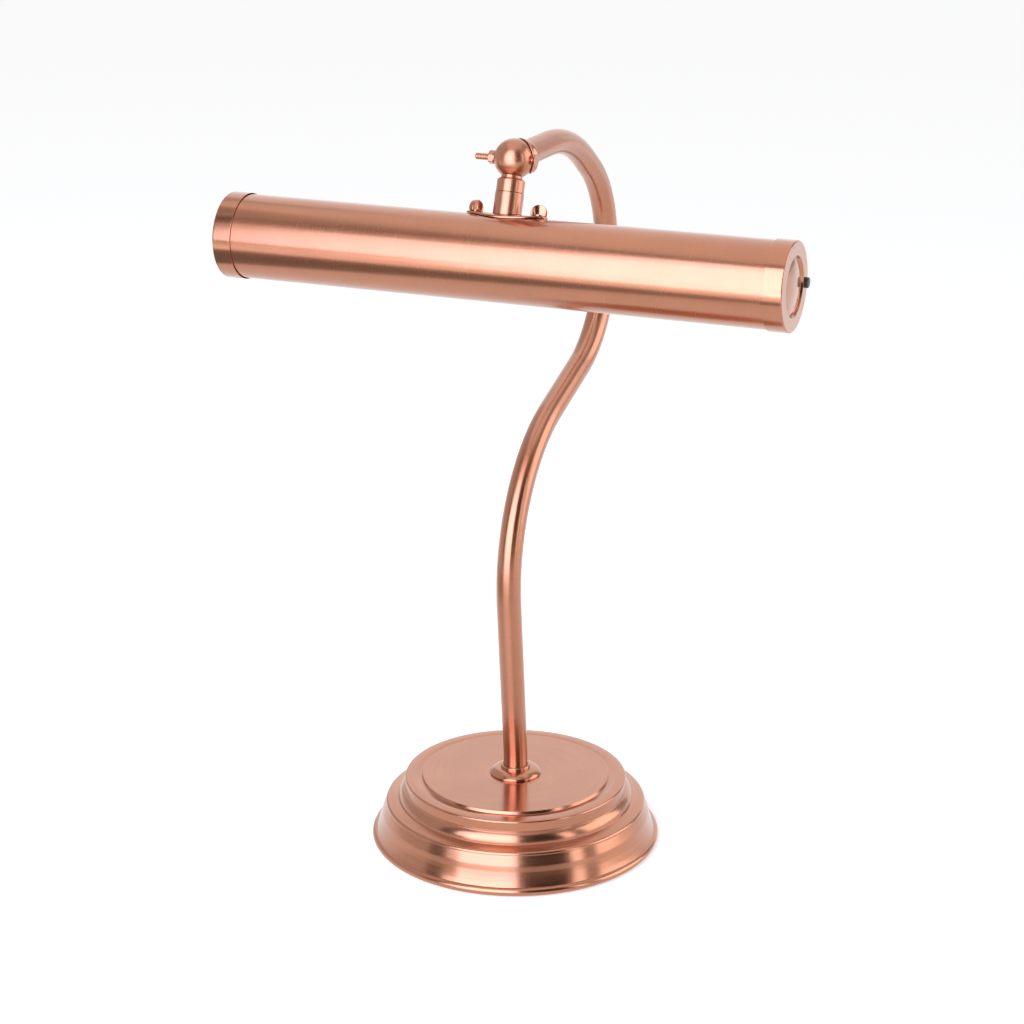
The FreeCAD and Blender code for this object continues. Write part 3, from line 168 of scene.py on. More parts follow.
@dataclass(frozen=True)
class Placing:
    """Where a sub-part is drawn: an origin in millimetres and the directions of its own X, Y and Z."""

    origin: np.ndarray
    axes: np.ndarray

    def place(self, points: np.ndarray) -> np.ndarray:
        """Points of the sub-part in the lamp's frame: origin plus the axes times the point."""
        return self.origin + points @ self.axes

    def aim(self, directions: np.ndarray) -> np.ndarray:
        """Directions of the sub-part in the lamp's frame."""
        return directions @ self.axes

    def moved(self, x: float = 0.0, y: float = 0.0, z: float = 0.0) -> "Placing":
        """The same directions with the origin moved along them."""
        return Placing(self.place(np.array([x, y, z])), self.axes)

    def turned(self, angle: float) -> "Placing":
        """The same origin, turned by some degrees about its own Z."""
        cos, sin = math.cos(math.radians(angle)), math.sin(math.radians(angle))
        x, y, z = self.axes
        return Placing(self.origin, np.array([cos * x + sin * y, cos * y - sin * x, z]))

    def lying(self, way: int = 1) -> "Placing":
        """The same origin with Z along this one's X (way 1) or against it (way -1)."""
        x, y, z = self.axes
        return Placing(self.origin, np.array([y, z, x] if way > 0 else [z, y, -x]))


UPRIGHT = Placing(np.zeros(3), np.eye(3))


def leaning(origin: Sequence[float], tilt: float) -> Placing:
    """A frame at an origin whose +Z leans back by some degrees."""
    cos, sin = math.cos(math.radians(tilt)), math.sin(math.radians(tilt))
    return Placing(np.array(origin, float), np.array([[1, 0, 0], [0, cos, -sin], [0, sin, cos]], float))


class Skin:
    """Grids of vertices woven into one closed mesh."""

    def __init__(self) -> None:
        """Start with nothing."""
        self.points: list[np.ndarray] = []
        self.normals: list[np.ndarray] = []
        self.lays: list[np.ndarray] = []
        self.faces: list[np.ndarray] = []
        self.corners: list[np.ndarray] = []
        self.marks: list[np.ndarray] = []
        self.count = 0

    def add(self, points: np.ndarray, normals: np.ndarray | None, lays: np.ndarray) -> np.ndarray:
        """Add vertices.

        Args:
            points: Rows by columns by 3, in millimetres.
            normals: The same shape, or None where Blender works them out.
            lays: The same shape: the place of each vertex on the sheet laid out flat.

        Returns:
            The vertices' numbers, rows by columns.
        """
        shape = points.shape[:-1]
        flat = points.reshape(-1, 3)
        self.points.append(flat)
        self.normals.append(np.zeros_like(flat) if normals is None else normals.reshape(-1, 3))
        self.lays.append(lays.reshape(-1, 3))
        ids = np.arange(self.count, self.count + len(flat)).reshape(shape)
        self.count += len(flat)
        return ids

    def weave(self, ids: np.ndarray, uv: np.ndarray | None = None, skip: np.ndarray | None = None,
              mark: int = 0) -> None:
        """Join a grid of vertices with faces.

        Args:
            ids: Vertex numbers, rows by columns; a number may come twice, at a seam or a pole.
            uv: Rows by columns by 2, in millimetres.
            skip: Cells that stay open, one fewer each way than ids.
            mark: Number of the material.
        """
        uv = np.stack(np.indices(ids.shape), axis=-1) * 1.0 if uv is None else uv
        rows, columns = np.indices((ids.shape[0] - 1, ids.shape[1] - 1))
        keep = np.ones(rows.shape, bool) if skip is None else ~skip
        i, j = rows[keep], columns[keep]
        spots = [(i, j), (i, j + 1), (i + 1, j + 1), (i + 1, j)]
        self.faces.append(np.stack([ids[a, b] for a, b in spots], axis=1))
        self.corners.append(np.stack([uv[a, b] for a, b in spots], axis=1))
        self.marks.append(np.full(len(i), mark))

    def make(self, name: str, body: str, slot: str, node: str, *materials: bpy.types.Material) -> None:
        """Put the mesh into the scene as a piece of the lamp, at the origin.

        Args:
            name: Name of the piece.
            body: The body that it moves with.
            slot: The record's material slot; not used.
            node: The construction's node that it stands for.
            materials: Its materials, in the order of the marks.
        """
        faces, corners, marks = (np.concatenate(part) for part in (self.faces, self.corners, self.marks))
        same = faces == np.roll(faces, -1, axis=1)
        alive = same.sum(axis=1) < 2
        faces, corners, marks, same = faces[alive], corners[alive], marks[alive], same[alive]
        sizes = 4 - same.sum(axis=1)
        loops, loop_uv = faces[~same], corners[~same]
        used, loops = np.unique(loops, return_inverse=True)
        points, normals, lays = (
            np.concatenate(part)[used] for part in (self.points, self.normals, self.lays))
        mesh = bpy.data.meshes.new(name)
        mesh.vertices.add(len(used))
        mesh.vertices.foreach_set("co", (points * MM).astype(np.float32).ravel())
        mesh.loops.add(len(loops))
        mesh.loops.foreach_set("vertex_index", loops.astype(np.int32))
        mesh.polygons.add(len(sizes))
        starts = np.concatenate([[0], np.cumsum(sizes)[:-1]])
        mesh.polygons.foreach_set("loop_start", starts.astype(np.int32))
        mesh.polygons.foreach_set("material_index", marks.astype(np.int32))
        mesh.update(calc_edges=True)
        mesh.validate()
        mesh.polygons.foreach_set("use_smooth", np.ones(len(mesh.polygons), bool))
        layer = mesh.uv_layers.new(name=SURFACE)
        layer.data.foreach_set("uv", (loop_uv * MM).astype(np.float32).ravel())
        attribute = mesh.attributes.new(LAY, "FLOAT_VECTOR", "POINT")
        attribute.data.foreach_set("vector", (lays * MM).astype(np.float32).ravel())
        solid = bmesh.new()
        solid.from_mesh(mesh)
        bmesh.ops.recalc_face_normals(solid, faces=solid.faces)
        solid.to_mesh(mesh)
        solid.free()
        if np.any(normals):
            mesh.normals_split_custom_set_from_vertices(normals.astype(np.float32).tolist())
        piece = bpy.data.objects.new(name, mesh)
        bpy.context.scene.collection.objects.link(piece)
        for material in materials:
            mesh.materials.append(material)
        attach(piece, body)
        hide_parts(node)
        log.info("%s: %d vertices, %d faces", name, len(used), len(sizes))


def turn_line(skin: Skin, line: Line, placing: Placing, around: int,
              bend: Callable[[np.ndarray], np.ndarray] | None = None,
              skip: Callable[[np.ndarray, np.ndarray], np.ndarray] | None = None) -> np.ndarray:
    """Turn a line of (radius, height) about a placing's Z: (r cos a, r sin a, h) for even angles a.

    Args:
        skin: The mesh that it is added to.
        line: The line to turn.
        placing: The frame to turn it in.
        around: How many steps go round.
        bend: Changes the points in the placing's own frame, such as to seat them on a curve.
        skip: From rows and columns of cells, which of them stay open.

    Returns:
        The vertices' numbers, with the first column again at the end.
    """
    angles = np.arange(around) * 2 * math.pi / around
    radius, height = line.points.T
    count = len(radius) - 1 if line.closed else len(radius)
    across = np.stack([np.cos(angles), np.sin(angles)], axis=-1)
    own = np.zeros((count, around, 3))
    own[..., :2] = radius[:count, None, None] * across
    own[..., 2] = height[:count, None]
    facing = np.zeros_like(own)
    facing[..., :2] = line.normals[:count, 0, None, None] * across
    facing[..., 2] = line.normals[:count, 1, None]
    along = np.broadcast_to(line.lengths[:count, None, None], (count, around, 1))
    lays = np.concatenate([along, own[..., :2]], axis=-1)
    if bend is not None:
        own = bend(own)
    ids = skin.add(placing.place(own), placing.aim(facing), lays)
    for row in (0, count - 1):
        if abs(radius[row]) < 1e-6:
            ids[row] = ids[row, 0]
    ids = np.column_stack([ids, ids[:, 0]])
    if line.closed:
        ids = np.vstack([ids, ids[0]])
    mean = max(float(radius.mean()), 1.0)
    turns = np.linspace(0.0, 2 * math.pi * mean, around + 1)
    uv = np.stack(np.broadcast_arrays(line.lengths[:, None], turns[None, :]), axis=-1)
    rows, columns = np.indices((ids.shape[0] - 1, ids.shape[1] - 1))
    skin.weave(ids, uv, skip(rows, columns) if skip else None)
    return ids


def pierce(skin: Skin, line: Line, placing: Placing, angles: np.ndarray, ids: np.ndarray,
           box: tuple[int, int, int, int], radius: float, lay_out: Callable, wrap: Callable) -> np.ndarray:
    """Fill a window of a turned surface up to a round hole.

    Each point of the window's edge is moved towards the hole's edge in even shares, on the
    surface laid out flat, and is then wrapped back: the surface is read between the line's rows.

    Args:
        skin: The mesh of the turned line.
        line: The line.
        placing: The frame that it was turned in.
        angles: The angle of each column.
        ids: The vertex numbers that turning gave.
        box: The window's first and last row as seen from outside, and its first and last column.
        radius: The hole's radius.
        lay_out: From an angle and a length along the line to flat coordinates about the hole's centre.
        wrap: The way back.

    Returns:
        The vertex numbers round the hole's edge, the first again at the end.
    """
    top, bottom, first, last = box
    step = 1 if bottom > top else -1
    rows = np.concatenate([np.full(last - first, top), np.arange(top, bottom, step),
                           np.full(last - first, bottom), np.arange(bottom, top, -step)])
    down = abs(bottom - top)
    columns = np.concatenate([np.arange(first, last), np.full(down, last), np.arange(last, first, -1),
                              np.full(down, first)])
    edge = np.stack(lay_out(angles[columns], line.lengths[rows]), axis=-1)
    hole = edge / np.hypot(*edge.T)[:, None] * radius
    shares = np.array([0.75, 0.5, 0.25, 0.0])[:, None, None]
    spots = hole + (edge - hole) * shares
    turn, run = wrap(spots[..., 0], spots[..., 1])
    reach, height, out, up = (np.interp(run, line.lengths, values) for values in (
        line.points[:, 0], line.points[:, 1], line.normals[:, 0], line.normals[:, 1]))
    points = np.stack([reach * np.cos(turn), reach * np.sin(turn), height], axis=-1)
    normals = np.stack([out * np.cos(turn), out * np.sin(turn), up], axis=-1)
    lays = np.concatenate([run[..., None], points[..., :2]], axis=-1)
    new = skin.add(placing.place(points), placing.aim(normals), lays)
    grid = np.vstack([ids[rows, columns][None], new])
    runs = np.vstack([line.lengths[rows][None], run])
    sides = np.vstack([edge[:, 0][None], spots[..., 0]])
    uv = np.stack([runs, sides], axis=-1)
    skin.weave(np.column_stack([grid, grid[:, 0]]), np.concatenate([uv, uv[:, :1]], axis=1))
    return np.append(new[-1], new[-1, 0])


def turn_pierced(skin: Skin, line: Line, placing: Placing, around: int, walls: Sequence[tuple[int, int]],
                 columns: tuple[int, int], radius: float,
                 flat: Callable[[np.ndarray], tuple[Callable, Callable]]) -> None:
    """Turn a line, and pierce its two walls with a round hole that a short tube lines.

    Args:
        skin: The mesh that it is added to.
        line: The line to turn.
        placing: The frame to turn it in.
        around: How many steps go round.
        walls: First and last row of the cells that are left open round the hole, outside and inside.
        columns: First and last column of those cells.
        radius: The hole's radius.
        flat: From a wall's rows to the way to lay it out flat about the hole, and the way back.
    """
    first, last = columns

    def window(rows: np.ndarray, cells: np.ndarray) -> np.ndarray:
        """The cells that stay open, on both walls."""
        open_rows = np.zeros(rows.shape, bool)
        for low, high in walls:
            open_rows |= (rows >= low) & (rows < high)
        return open_rows & (cells >= first) & (cells < last)

    ids = turn_line(skin, line, placing, around, skip=window)
    angles = np.arange(around + 1) * 2 * math.pi / around
    rings = []
    for top, bottom in (walls[0], walls[1][::-1]):
        ways = flat(np.arange(min(top, bottom), max(top, bottom) + 1))
        rings.append(pierce(skin, line, placing, angles, ids, (top, bottom, first, last), radius, *ways))
    skin.weave(np.stack(rings))


def slab(outline: Line, centre: np.ndarray, half: float, rounding: float, rings: int
         ) -> tuple[np.ndarray, np.ndarray, np.ndarray, np.ndarray, np.ndarray]:
    """A flat slab with rounded edges, as rings of its outline from the middle of one face to the other's.

    Face rings are the outline, drawn in by the rounding, times an even share. Edge rings follow a
    quarter circle: drawn in by r (1 - cos b) at height half - r (1 - sin b).

    Args:
        outline: The closed plan.
        centre: The faces' middle in the plan.
        half: Half of the thickness.
        rounding: Radius of the edges.
        rings: Rings on each face.

    Returns:
        Plan points (rows, columns, 2), heights (rows, columns), the shares of the normal that
        point outwards and up (rows), and the outward plan directions (rows, columns, 2).
    """
    edge, facing = outline.points[:-1], outline.normals[:-1]
    inner = edge - facing * rounding
    shares = np.linspace(0.0, 1.0, rings)[:, None, None]
    face = centre + (inner - centre) * shares
    bends = np.radians(np.linspace(90.0, 0.0, 6))[1:]
    curve = edge - facing * (rounding * (1 - np.cos(bends)))[:, None, None]
    rise = np.concatenate([np.full(rings, half), half - rounding * (1 - np.sin(bends))])
    plan = np.concatenate([face, curve])
    out = np.concatenate([np.zeros(rings), np.cos(bends)])
    up = np.concatenate([np.ones(rings), np.sin(bends)])
    plan = np.concatenate([plan, plan[::-1]])
    height = np.concatenate([rise, -rise[::-1]])[:, None] * np.ones(len(edge))
    both = np.concatenate([out, out[::-1]])
    return plan, height, both, np.concatenate([up, -up[::-1]]), np.broadcast_to(facing, plan.shape)


def weave_slab(skin: Skin, placing: Placing, points: np.ndarray, normals: np.ndarray | None) -> None:
    """Join the rings of a slab, whose first and last ring are single points.

    Args:
        skin: The mesh that it is added to.
        placing: The slab's frame.
        points: Rings by columns by 3.
        normals: The same shape, or None.
    """
    ids = skin.add(placing.place(points), None if normals is None else placing.aim(normals), points)
    ids[0], ids[-1] = ids[0, 0], ids[-1, 0]
    ids = np.column_stack([ids, ids[:, 0]])
    uv = np.concatenate([points[..., :1], points[..., 1:2] + points[..., 2:]], axis=-1)
    skin.weave(ids, np.concatenate([uv, uv[:, :1]], axis=1))


# Finishes: what each surface really is, and what that gives the eye


class Brushing(Enum):
    """Which way the lines of a brushed surface run."""

    ROUND = "round"
    NONE = "none"


def colour(hex_code: str) -> tuple[float, float, float, float]:
    """An sRGB hex colour as linear numbers with full alpha."""
    values = [int(hex_code[k:k + 2], 16) / 255 for k in (1, 3, 5)]
    linear = [v / 12.92 if v <= 0.04045 else ((v + 0.055) / 1.055) ** 2.4 for v in values]
    return (*linear, 1.0)


def add_node(material: bpy.types.Material | bpy.types.World, kind: str, links: dict | None = None,
             **settings) -> bpy.types.Node:
    """Add a shader node.

    Args:
        material: The material or world that gets it.
        kind: Blender's name for the type of node.
        links: From the name or number of an input to an output socket or a plain value.
        settings: The node's own properties.

    Returns:
        The new node.
    """
    node = material.node_tree.nodes.new(kind)
    for name, value in settings.items():
        setattr(node, name, value)
    for name, value in (links or {}).items():
        if isinstance(value, bpy.types.NodeSocket):
            material.node_tree.links.new(value, node.inputs[name])
        else:
            node.inputs[name].default_value = value
    return node


def new_material(name: str, **sockets) -> tuple[bpy.types.Material, bpy.types.Node]:
    """A material with one Principled shader.

    Args:
        name: Name of the material.
        sockets: Values for the shader's sockets, with _ for a space in their names.

    Returns:
        The material and its shader node.
    """
    material = bpy.data.materials.new(name)
    material.use_nodes = True
    shader = material.node_tree.nodes["Principled BSDF"]
    for socket, value in sockets.items():
        shader.inputs[socket.replace("_", " ")].default_value = value
    return material, shader


def shades(material: bpy.types.Material, source: bpy.types.NodeSocket, stops: Sequence[tuple[float, str]]
           ) -> bpy.types.NodeSocket:
    """Colours along a number.

    Args:
        material: The material that gets the ramp.
        source: The number.
        stops: Pairs of a place from 0 to 1 and a hex colour.

    Returns:
        The colour output.
    """
    ramp = add_node(material, "ShaderNodeValToRGB", {"Fac": source})
    elements = ramp.color_ramp.elements
    while len(elements) < len(stops):
        elements.new(0.5)
    for element, (place, code) in zip(elements, stops):
        element.position = place
        element.color = colour(code)
    return ramp.outputs["Color"]


@dataclass(frozen=True)
class BrushedCopper:
    """Copper plate on steel or brass, brushed with a fine belt and lacquered.

    The brushing spreads a highlight across its lines, so bands of light stay crisp one way and
    soften the other. The lacquer lays a pale gloss over the copper's own red.
    """

    name: str
    brushing: Brushing = Brushing.ROUND
    # real brush lines are about 0.05 mm apart; these are drawn this coarse to show
    line_spacing: float = 1.1
    line_length: float = 60.0
    roughness: float = 0.27
    anisotropy: float = 0.6
    contrast: float = 0.4
    light: str = "#D08D6B"
    middle: str = "#C88362"
    dark: str = "#BB7655"
    bump: float = 0.002
    cloud_size: float = 28.0
    lacquer: float = 0.85
    lacquer_roughness: float = 0.14
    lacquer_ior: float = 1.58

    def material(self) -> bpy.types.Material:
        """Build the finish: stretched noise for the lines, in colour, roughness and bump."""
        material, shader = new_material(
            self.name, Metallic=1.0, Anisotropic=self.anisotropy, Coat_Weight=self.lacquer,
            Coat_Roughness=self.lacquer_roughness, Coat_IOR=self.lacquer_ior)
        if self.brushing is Brushing.NONE:
            lay = add_node(material, "ShaderNodeTexCoord").outputs["Object"]
        else:
            lay = add_node(material, "ShaderNodeAttribute", attribute_name=LAY).outputs["Vector"]
        fine, coarse = 1 / (self.line_spacing * MM), 1 / (self.line_length * MM)
        scales = {Brushing.ROUND: (fine, coarse, coarse), Brushing.NONE: (fine, fine, fine)}
        lines = add_node(material, "ShaderNodeMapping", {"Vector": lay, "Scale": scales[self.brushing]})
        grain = add_node(material, "ShaderNodeTexNoise", {
            "Vector": lines.outputs["Vector"], "Scale": 1.0, "Detail": 3.0, "Roughness": 0.65})
        clouds = add_node(material, "ShaderNodeTexNoise", {
            "Vector": lay, "Scale": 1 / (self.cloud_size * MM), "Detail": 2.0})
        spread = add_node(material, "ShaderNodeMapRange", {
            "Value": grain.outputs["Fac"], "From Min": 0.5 - 0.3 / self.contrast,
            "From Max": 0.5 + 0.3 / self.contrast})
        tint = shades(material, spread.outputs["Result"],
                      [(0.0, self.dark), (0.5, self.middle), (1.0, self.light)])
        cloudy = add_node(material, "ShaderNodeMapRange", {
            "Value": clouds.outputs["Fac"], "From Min": 0.3, "From Max": 0.7, "To Min": 0.95, "To Max": 1.04})
        toned = add_node(material, "ShaderNodeVectorMath", {
            0: tint, 1: cloudy.outputs["Result"]}, operation="MULTIPLY")
        rough = add_node(material, "ShaderNodeMapRange", {
            "Value": grain.outputs["Fac"], "From Min": 0.25, "From Max": 0.75,
            "To Min": self.roughness - 0.03 * self.contrast,
            "To Max": self.roughness + 0.04 * self.contrast})
        relief = add_node(material, "ShaderNodeBump", {
            "Height": grain.outputs["Fac"], "Strength": 1.0, "Distance": self.bump * MM})
        links = material.node_tree.links
        links.new(toned.outputs["Vector"], shader.inputs["Base Color"])
        links.new(rough.outputs["Result"], shader.inputs["Roughness"])
        links.new(relief.outputs["Normal"], shader.inputs["Normal"])
        if self.brushing is not Brushing.NONE:
            tangent = add_node(material, "ShaderNodeTangent", direction_type="UV_MAP", uv_map=SURFACE)
            links.new(tangent.outputs["Tangent"], shader.inputs["Tangent"])
        return material


@dataclass(frozen=True)
class Speckled:
    """A cast, moulded, plated or drawn surface: a colour that wanders a little, over fine relief."""

    name: str
    low: str
    high: str
    roughness: float
    metallic: float = 0.0
    grain: float = 1.2
    relief: float = 0.05
    coat: float = 0.0
    sheen: float = 0.0
    transmission: float = 0.0
    ior: float = 1.5
    uneven: float = 0.08

    def material(self) -> bpy.types.Material:
        """Build the finish from one noise at the real grain and one ten times as large."""
        material, shader = new_material(
            self.name, Metallic=self.metallic, Coat_Weight=self.coat, Coat_Roughness=0.05,
            Sheen_Weight=self.sheen, Sheen_Roughness=0.6, Transmission_Weight=self.transmission,
            IOR=self.ior)
        places = add_node(material, "ShaderNodeTexCoord")
        fine = add_node(material, "ShaderNodeTexNoise", {
            "Vector": places.outputs["Object"], "Scale": 1 / (self.grain * MM), "Detail": 4.0})
        broad = add_node(material, "ShaderNodeTexNoise", {
            "Vector": places.outputs["Object"], "Scale": 0.1 / (self.grain * MM), "Detail": 2.0})
        both = add_node(material, "ShaderNodeMath", {
            0: fine.outputs["Fac"], 1: broad.outputs["Fac"]}, operation="ADD")
        share = add_node(material, "ShaderNodeMapRange", {
            "Value": both.outputs["Value"], "From Min": 0.6, "From Max": 1.4})
        tint = shades(material, share.outputs["Result"], [(0.0, self.low), (1.0, self.high)])
        rough = add_node(material, "ShaderNodeMapRange", {
            "Value": fine.outputs["Fac"], "From Min": 0.3, "From Max": 0.7,
            "To Min": max(self.roughness - self.uneven, 0.0), "To Max": self.roughness + self.uneven})
        bump = add_node(material, "ShaderNodeBump", {
            "Height": fine.outputs["Fac"], "Strength": 1.0, "Distance": self.relief * MM})
        links = material.node_tree.links
        links.new(tint, shader.inputs["Base Color"])
        links.new(rough.outputs["Result"], shader.inputs["Roughness"])
        links.new(bump.outputs["Normal"], shader.inputs["Normal"])
        return material


FINISHES = {
    # fine lines run round the spun base, and its broad flare shows them most
    "spun": BrushedCopper("spun_copper_plate", line_spacing=1.6, contrast=0.45, roughness=0.24, bump=0.0015),
    # the tube is belt brushed round its girth, with hardly a line to see
    "tube": BrushedCopper("brushed_copper_tube", line_spacing=0.9, line_length=40.0, contrast=0.14,
                          bump=0.0004),
    # the stem is brushed round its girth too, which draws each light out along it
    "stem": BrushedCopper("satin_copper_stem", line_spacing=1.2, line_length=15.0, roughness=0.3,
                          anisotropy=0.85, contrast=0.3),
    # turned brass under copper plate, with a closer polish that keeps edges of light crisp
    "turned": BrushedCopper("turned_copper_plate", line_spacing=0.8, line_length=20.0, roughness=0.2,
                            anisotropy=0.4, contrast=0.4),
    # the ball joint is satin all over, so that it spreads a light into one soft spot
    "satin": BrushedCopper("satin_copper_plate", line_spacing=0.8, line_length=20.0, roughness=0.34,
                           anisotropy=0.2, contrast=0.3),
    # small plates and the cup are buffed by hand, with no run of lines
    "plate": BrushedCopper("buffed_copper_plate", Brushing.NONE, line_spacing=1.5, roughness=0.22,
                           anisotropy=0.0, contrast=0.5),
    # a smooth warm white with a soft gloss, which throws the light out of the shade
    "enamel": Speckled("white_stoved_enamel", "#E9E6DE", "#F2EFE8", 0.35, grain=2.0, relief=0.02, coat=0.3),
    # dull grey with the sand's grain
    "iron": Speckled("grey_cast_iron", "#3A3A3B", "#5A5958", 0.62, 0.9, grain=1.5, relief=0.25),
    # bluish grey with a clean shine
    "zinc": Speckled("bright_zinc_plate", "#A7ABB0", "#C9CCCF", 0.32, 1.0, grain=1.0, relief=0.01),
    # deep black with a faint bloom of fibres
    "felt": Speckled("black_wool_felt", "#0D0D0E", "#232325", 0.95, grain=0.35, relief=0.35, sheen=0.5,
                     uneven=0.04),
    # yellow, with the tool's plain shine
    "brass": Speckled("turned_brass", "#B08A42", "#CBA45A", 0.3, 1.0, grain=0.8, relief=0.01),
    # near black and matt
    "rubber": Speckled("black_rubber", "#101011", "#1D1D1E", 0.6, grain=0.5, relief=0.04),
    # an even cream with a dull shine
    "cream": Speckled("cream_thermoset_moulding", "#D9CCAB", "#E6DBBF", 0.42, grain=0.8, relief=0.02),
    # pale and waxy over the lead's strands
    "sheath": Speckled("clear_lead_sheath", "#B8B1A0", "#CBC5B6", 0.35, grain=1.0, relief=0.02, coat=0.2),
    # a hard white gloss
    "porcelain": Speckled("glazed_porcelain", "#E4E1D8", "#F0EEE7", 0.14, grain=1.5, relief=0.015,
                          coat=0.5, uneven=0.03),
    # warm grey, a little duller than the zinc
    "lamp_metal": Speckled("nickel_lamp_cap", "#A59F93", "#BFB9AE", 0.28, 1.0, grain=0.8, relief=0.01),
    # clear, with a thin bright line where it turns away
    "glass": Speckled("clear_lamp_glass", "#F4F6F6", "#FFFFFF", 0.03, grain=4.0, relief=0.004,
                      transmission=1.0, uneven=0.02),
    # dark grey wire with no shine to speak of
    "filament": Speckled("tungsten_filament", "#4B4742", "#6B655D", 0.5, 1.0, grain=0.3, relief=0.05),
    # black with the mould's low gloss
    "phenolic": Speckled("black_phenolic_moulding", "#131314", "#202022", 0.34, grain=0.5, relief=0.01,
                         coat=0.2),
}


@dataclass
class Finishes:
    """The materials of the finishes, each made when it is first asked for."""

    made: dict[str, bpy.types.Material] = field(default_factory=dict)

    def get(self, name: str) -> bpy.types.Material:
        """The material of a finish."""
        if name not in self.made:
            self.made[name] = FINISHES[name].material()
        return self.made[name]

    def dress(self, node: str, finish: str) -> None:
        """Give a carried-over node of the construction its finish."""
        piece = frame["nodes"][node]
        piece.data.materials.clear()
        piece.data.materials.append(self.get(finish))
        log.info("%s keeps its construction mesh, in %s", node, finish)

    def turn(self, name: str, body: str, slot: str, node: str, finish: str, line: Line,
             placing: Placing, around: int, bend: Callable[[np.ndarray], np.ndarray] | None = None) -> None:
        """Make a piece that is one turned line.

        Args:
            name: Name of the piece.
            body: The body that it moves with.
            slot: The record's material slot.
            node: The construction's node that it stands for.
            finish: Its finish.
            line: The line to turn.
            placing: The frame to turn it in.
            around: How many steps go round.
            bend: Changes the points in the placing's own frame.
        """
        skin = Skin()
        turn_line(skin, line, placing, around, bend)
        skin.make(name, body, slot, node, self.get(finish))


# The frames that the pieces are drawn in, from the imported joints


def joint(name: str) -> dict:
    """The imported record's joint of that name."""
    return next(item for item in frame["joints"] if item["name"] == name)


# degrees that the shade hangs back at rest, and how far its middle lies below the ball's
TILT = 19.0
SHADE_DROP = 58.3
BALL_CENTRE = np.array(joint("head_tilt")["pos_m"]) / MM
CUP = Placing(BALL_CENTRE, np.eye(3))
HEAD = leaning(BALL_CENTRE, TILT)
SHADE = HEAD.moved(z=-SHADE_DROP)


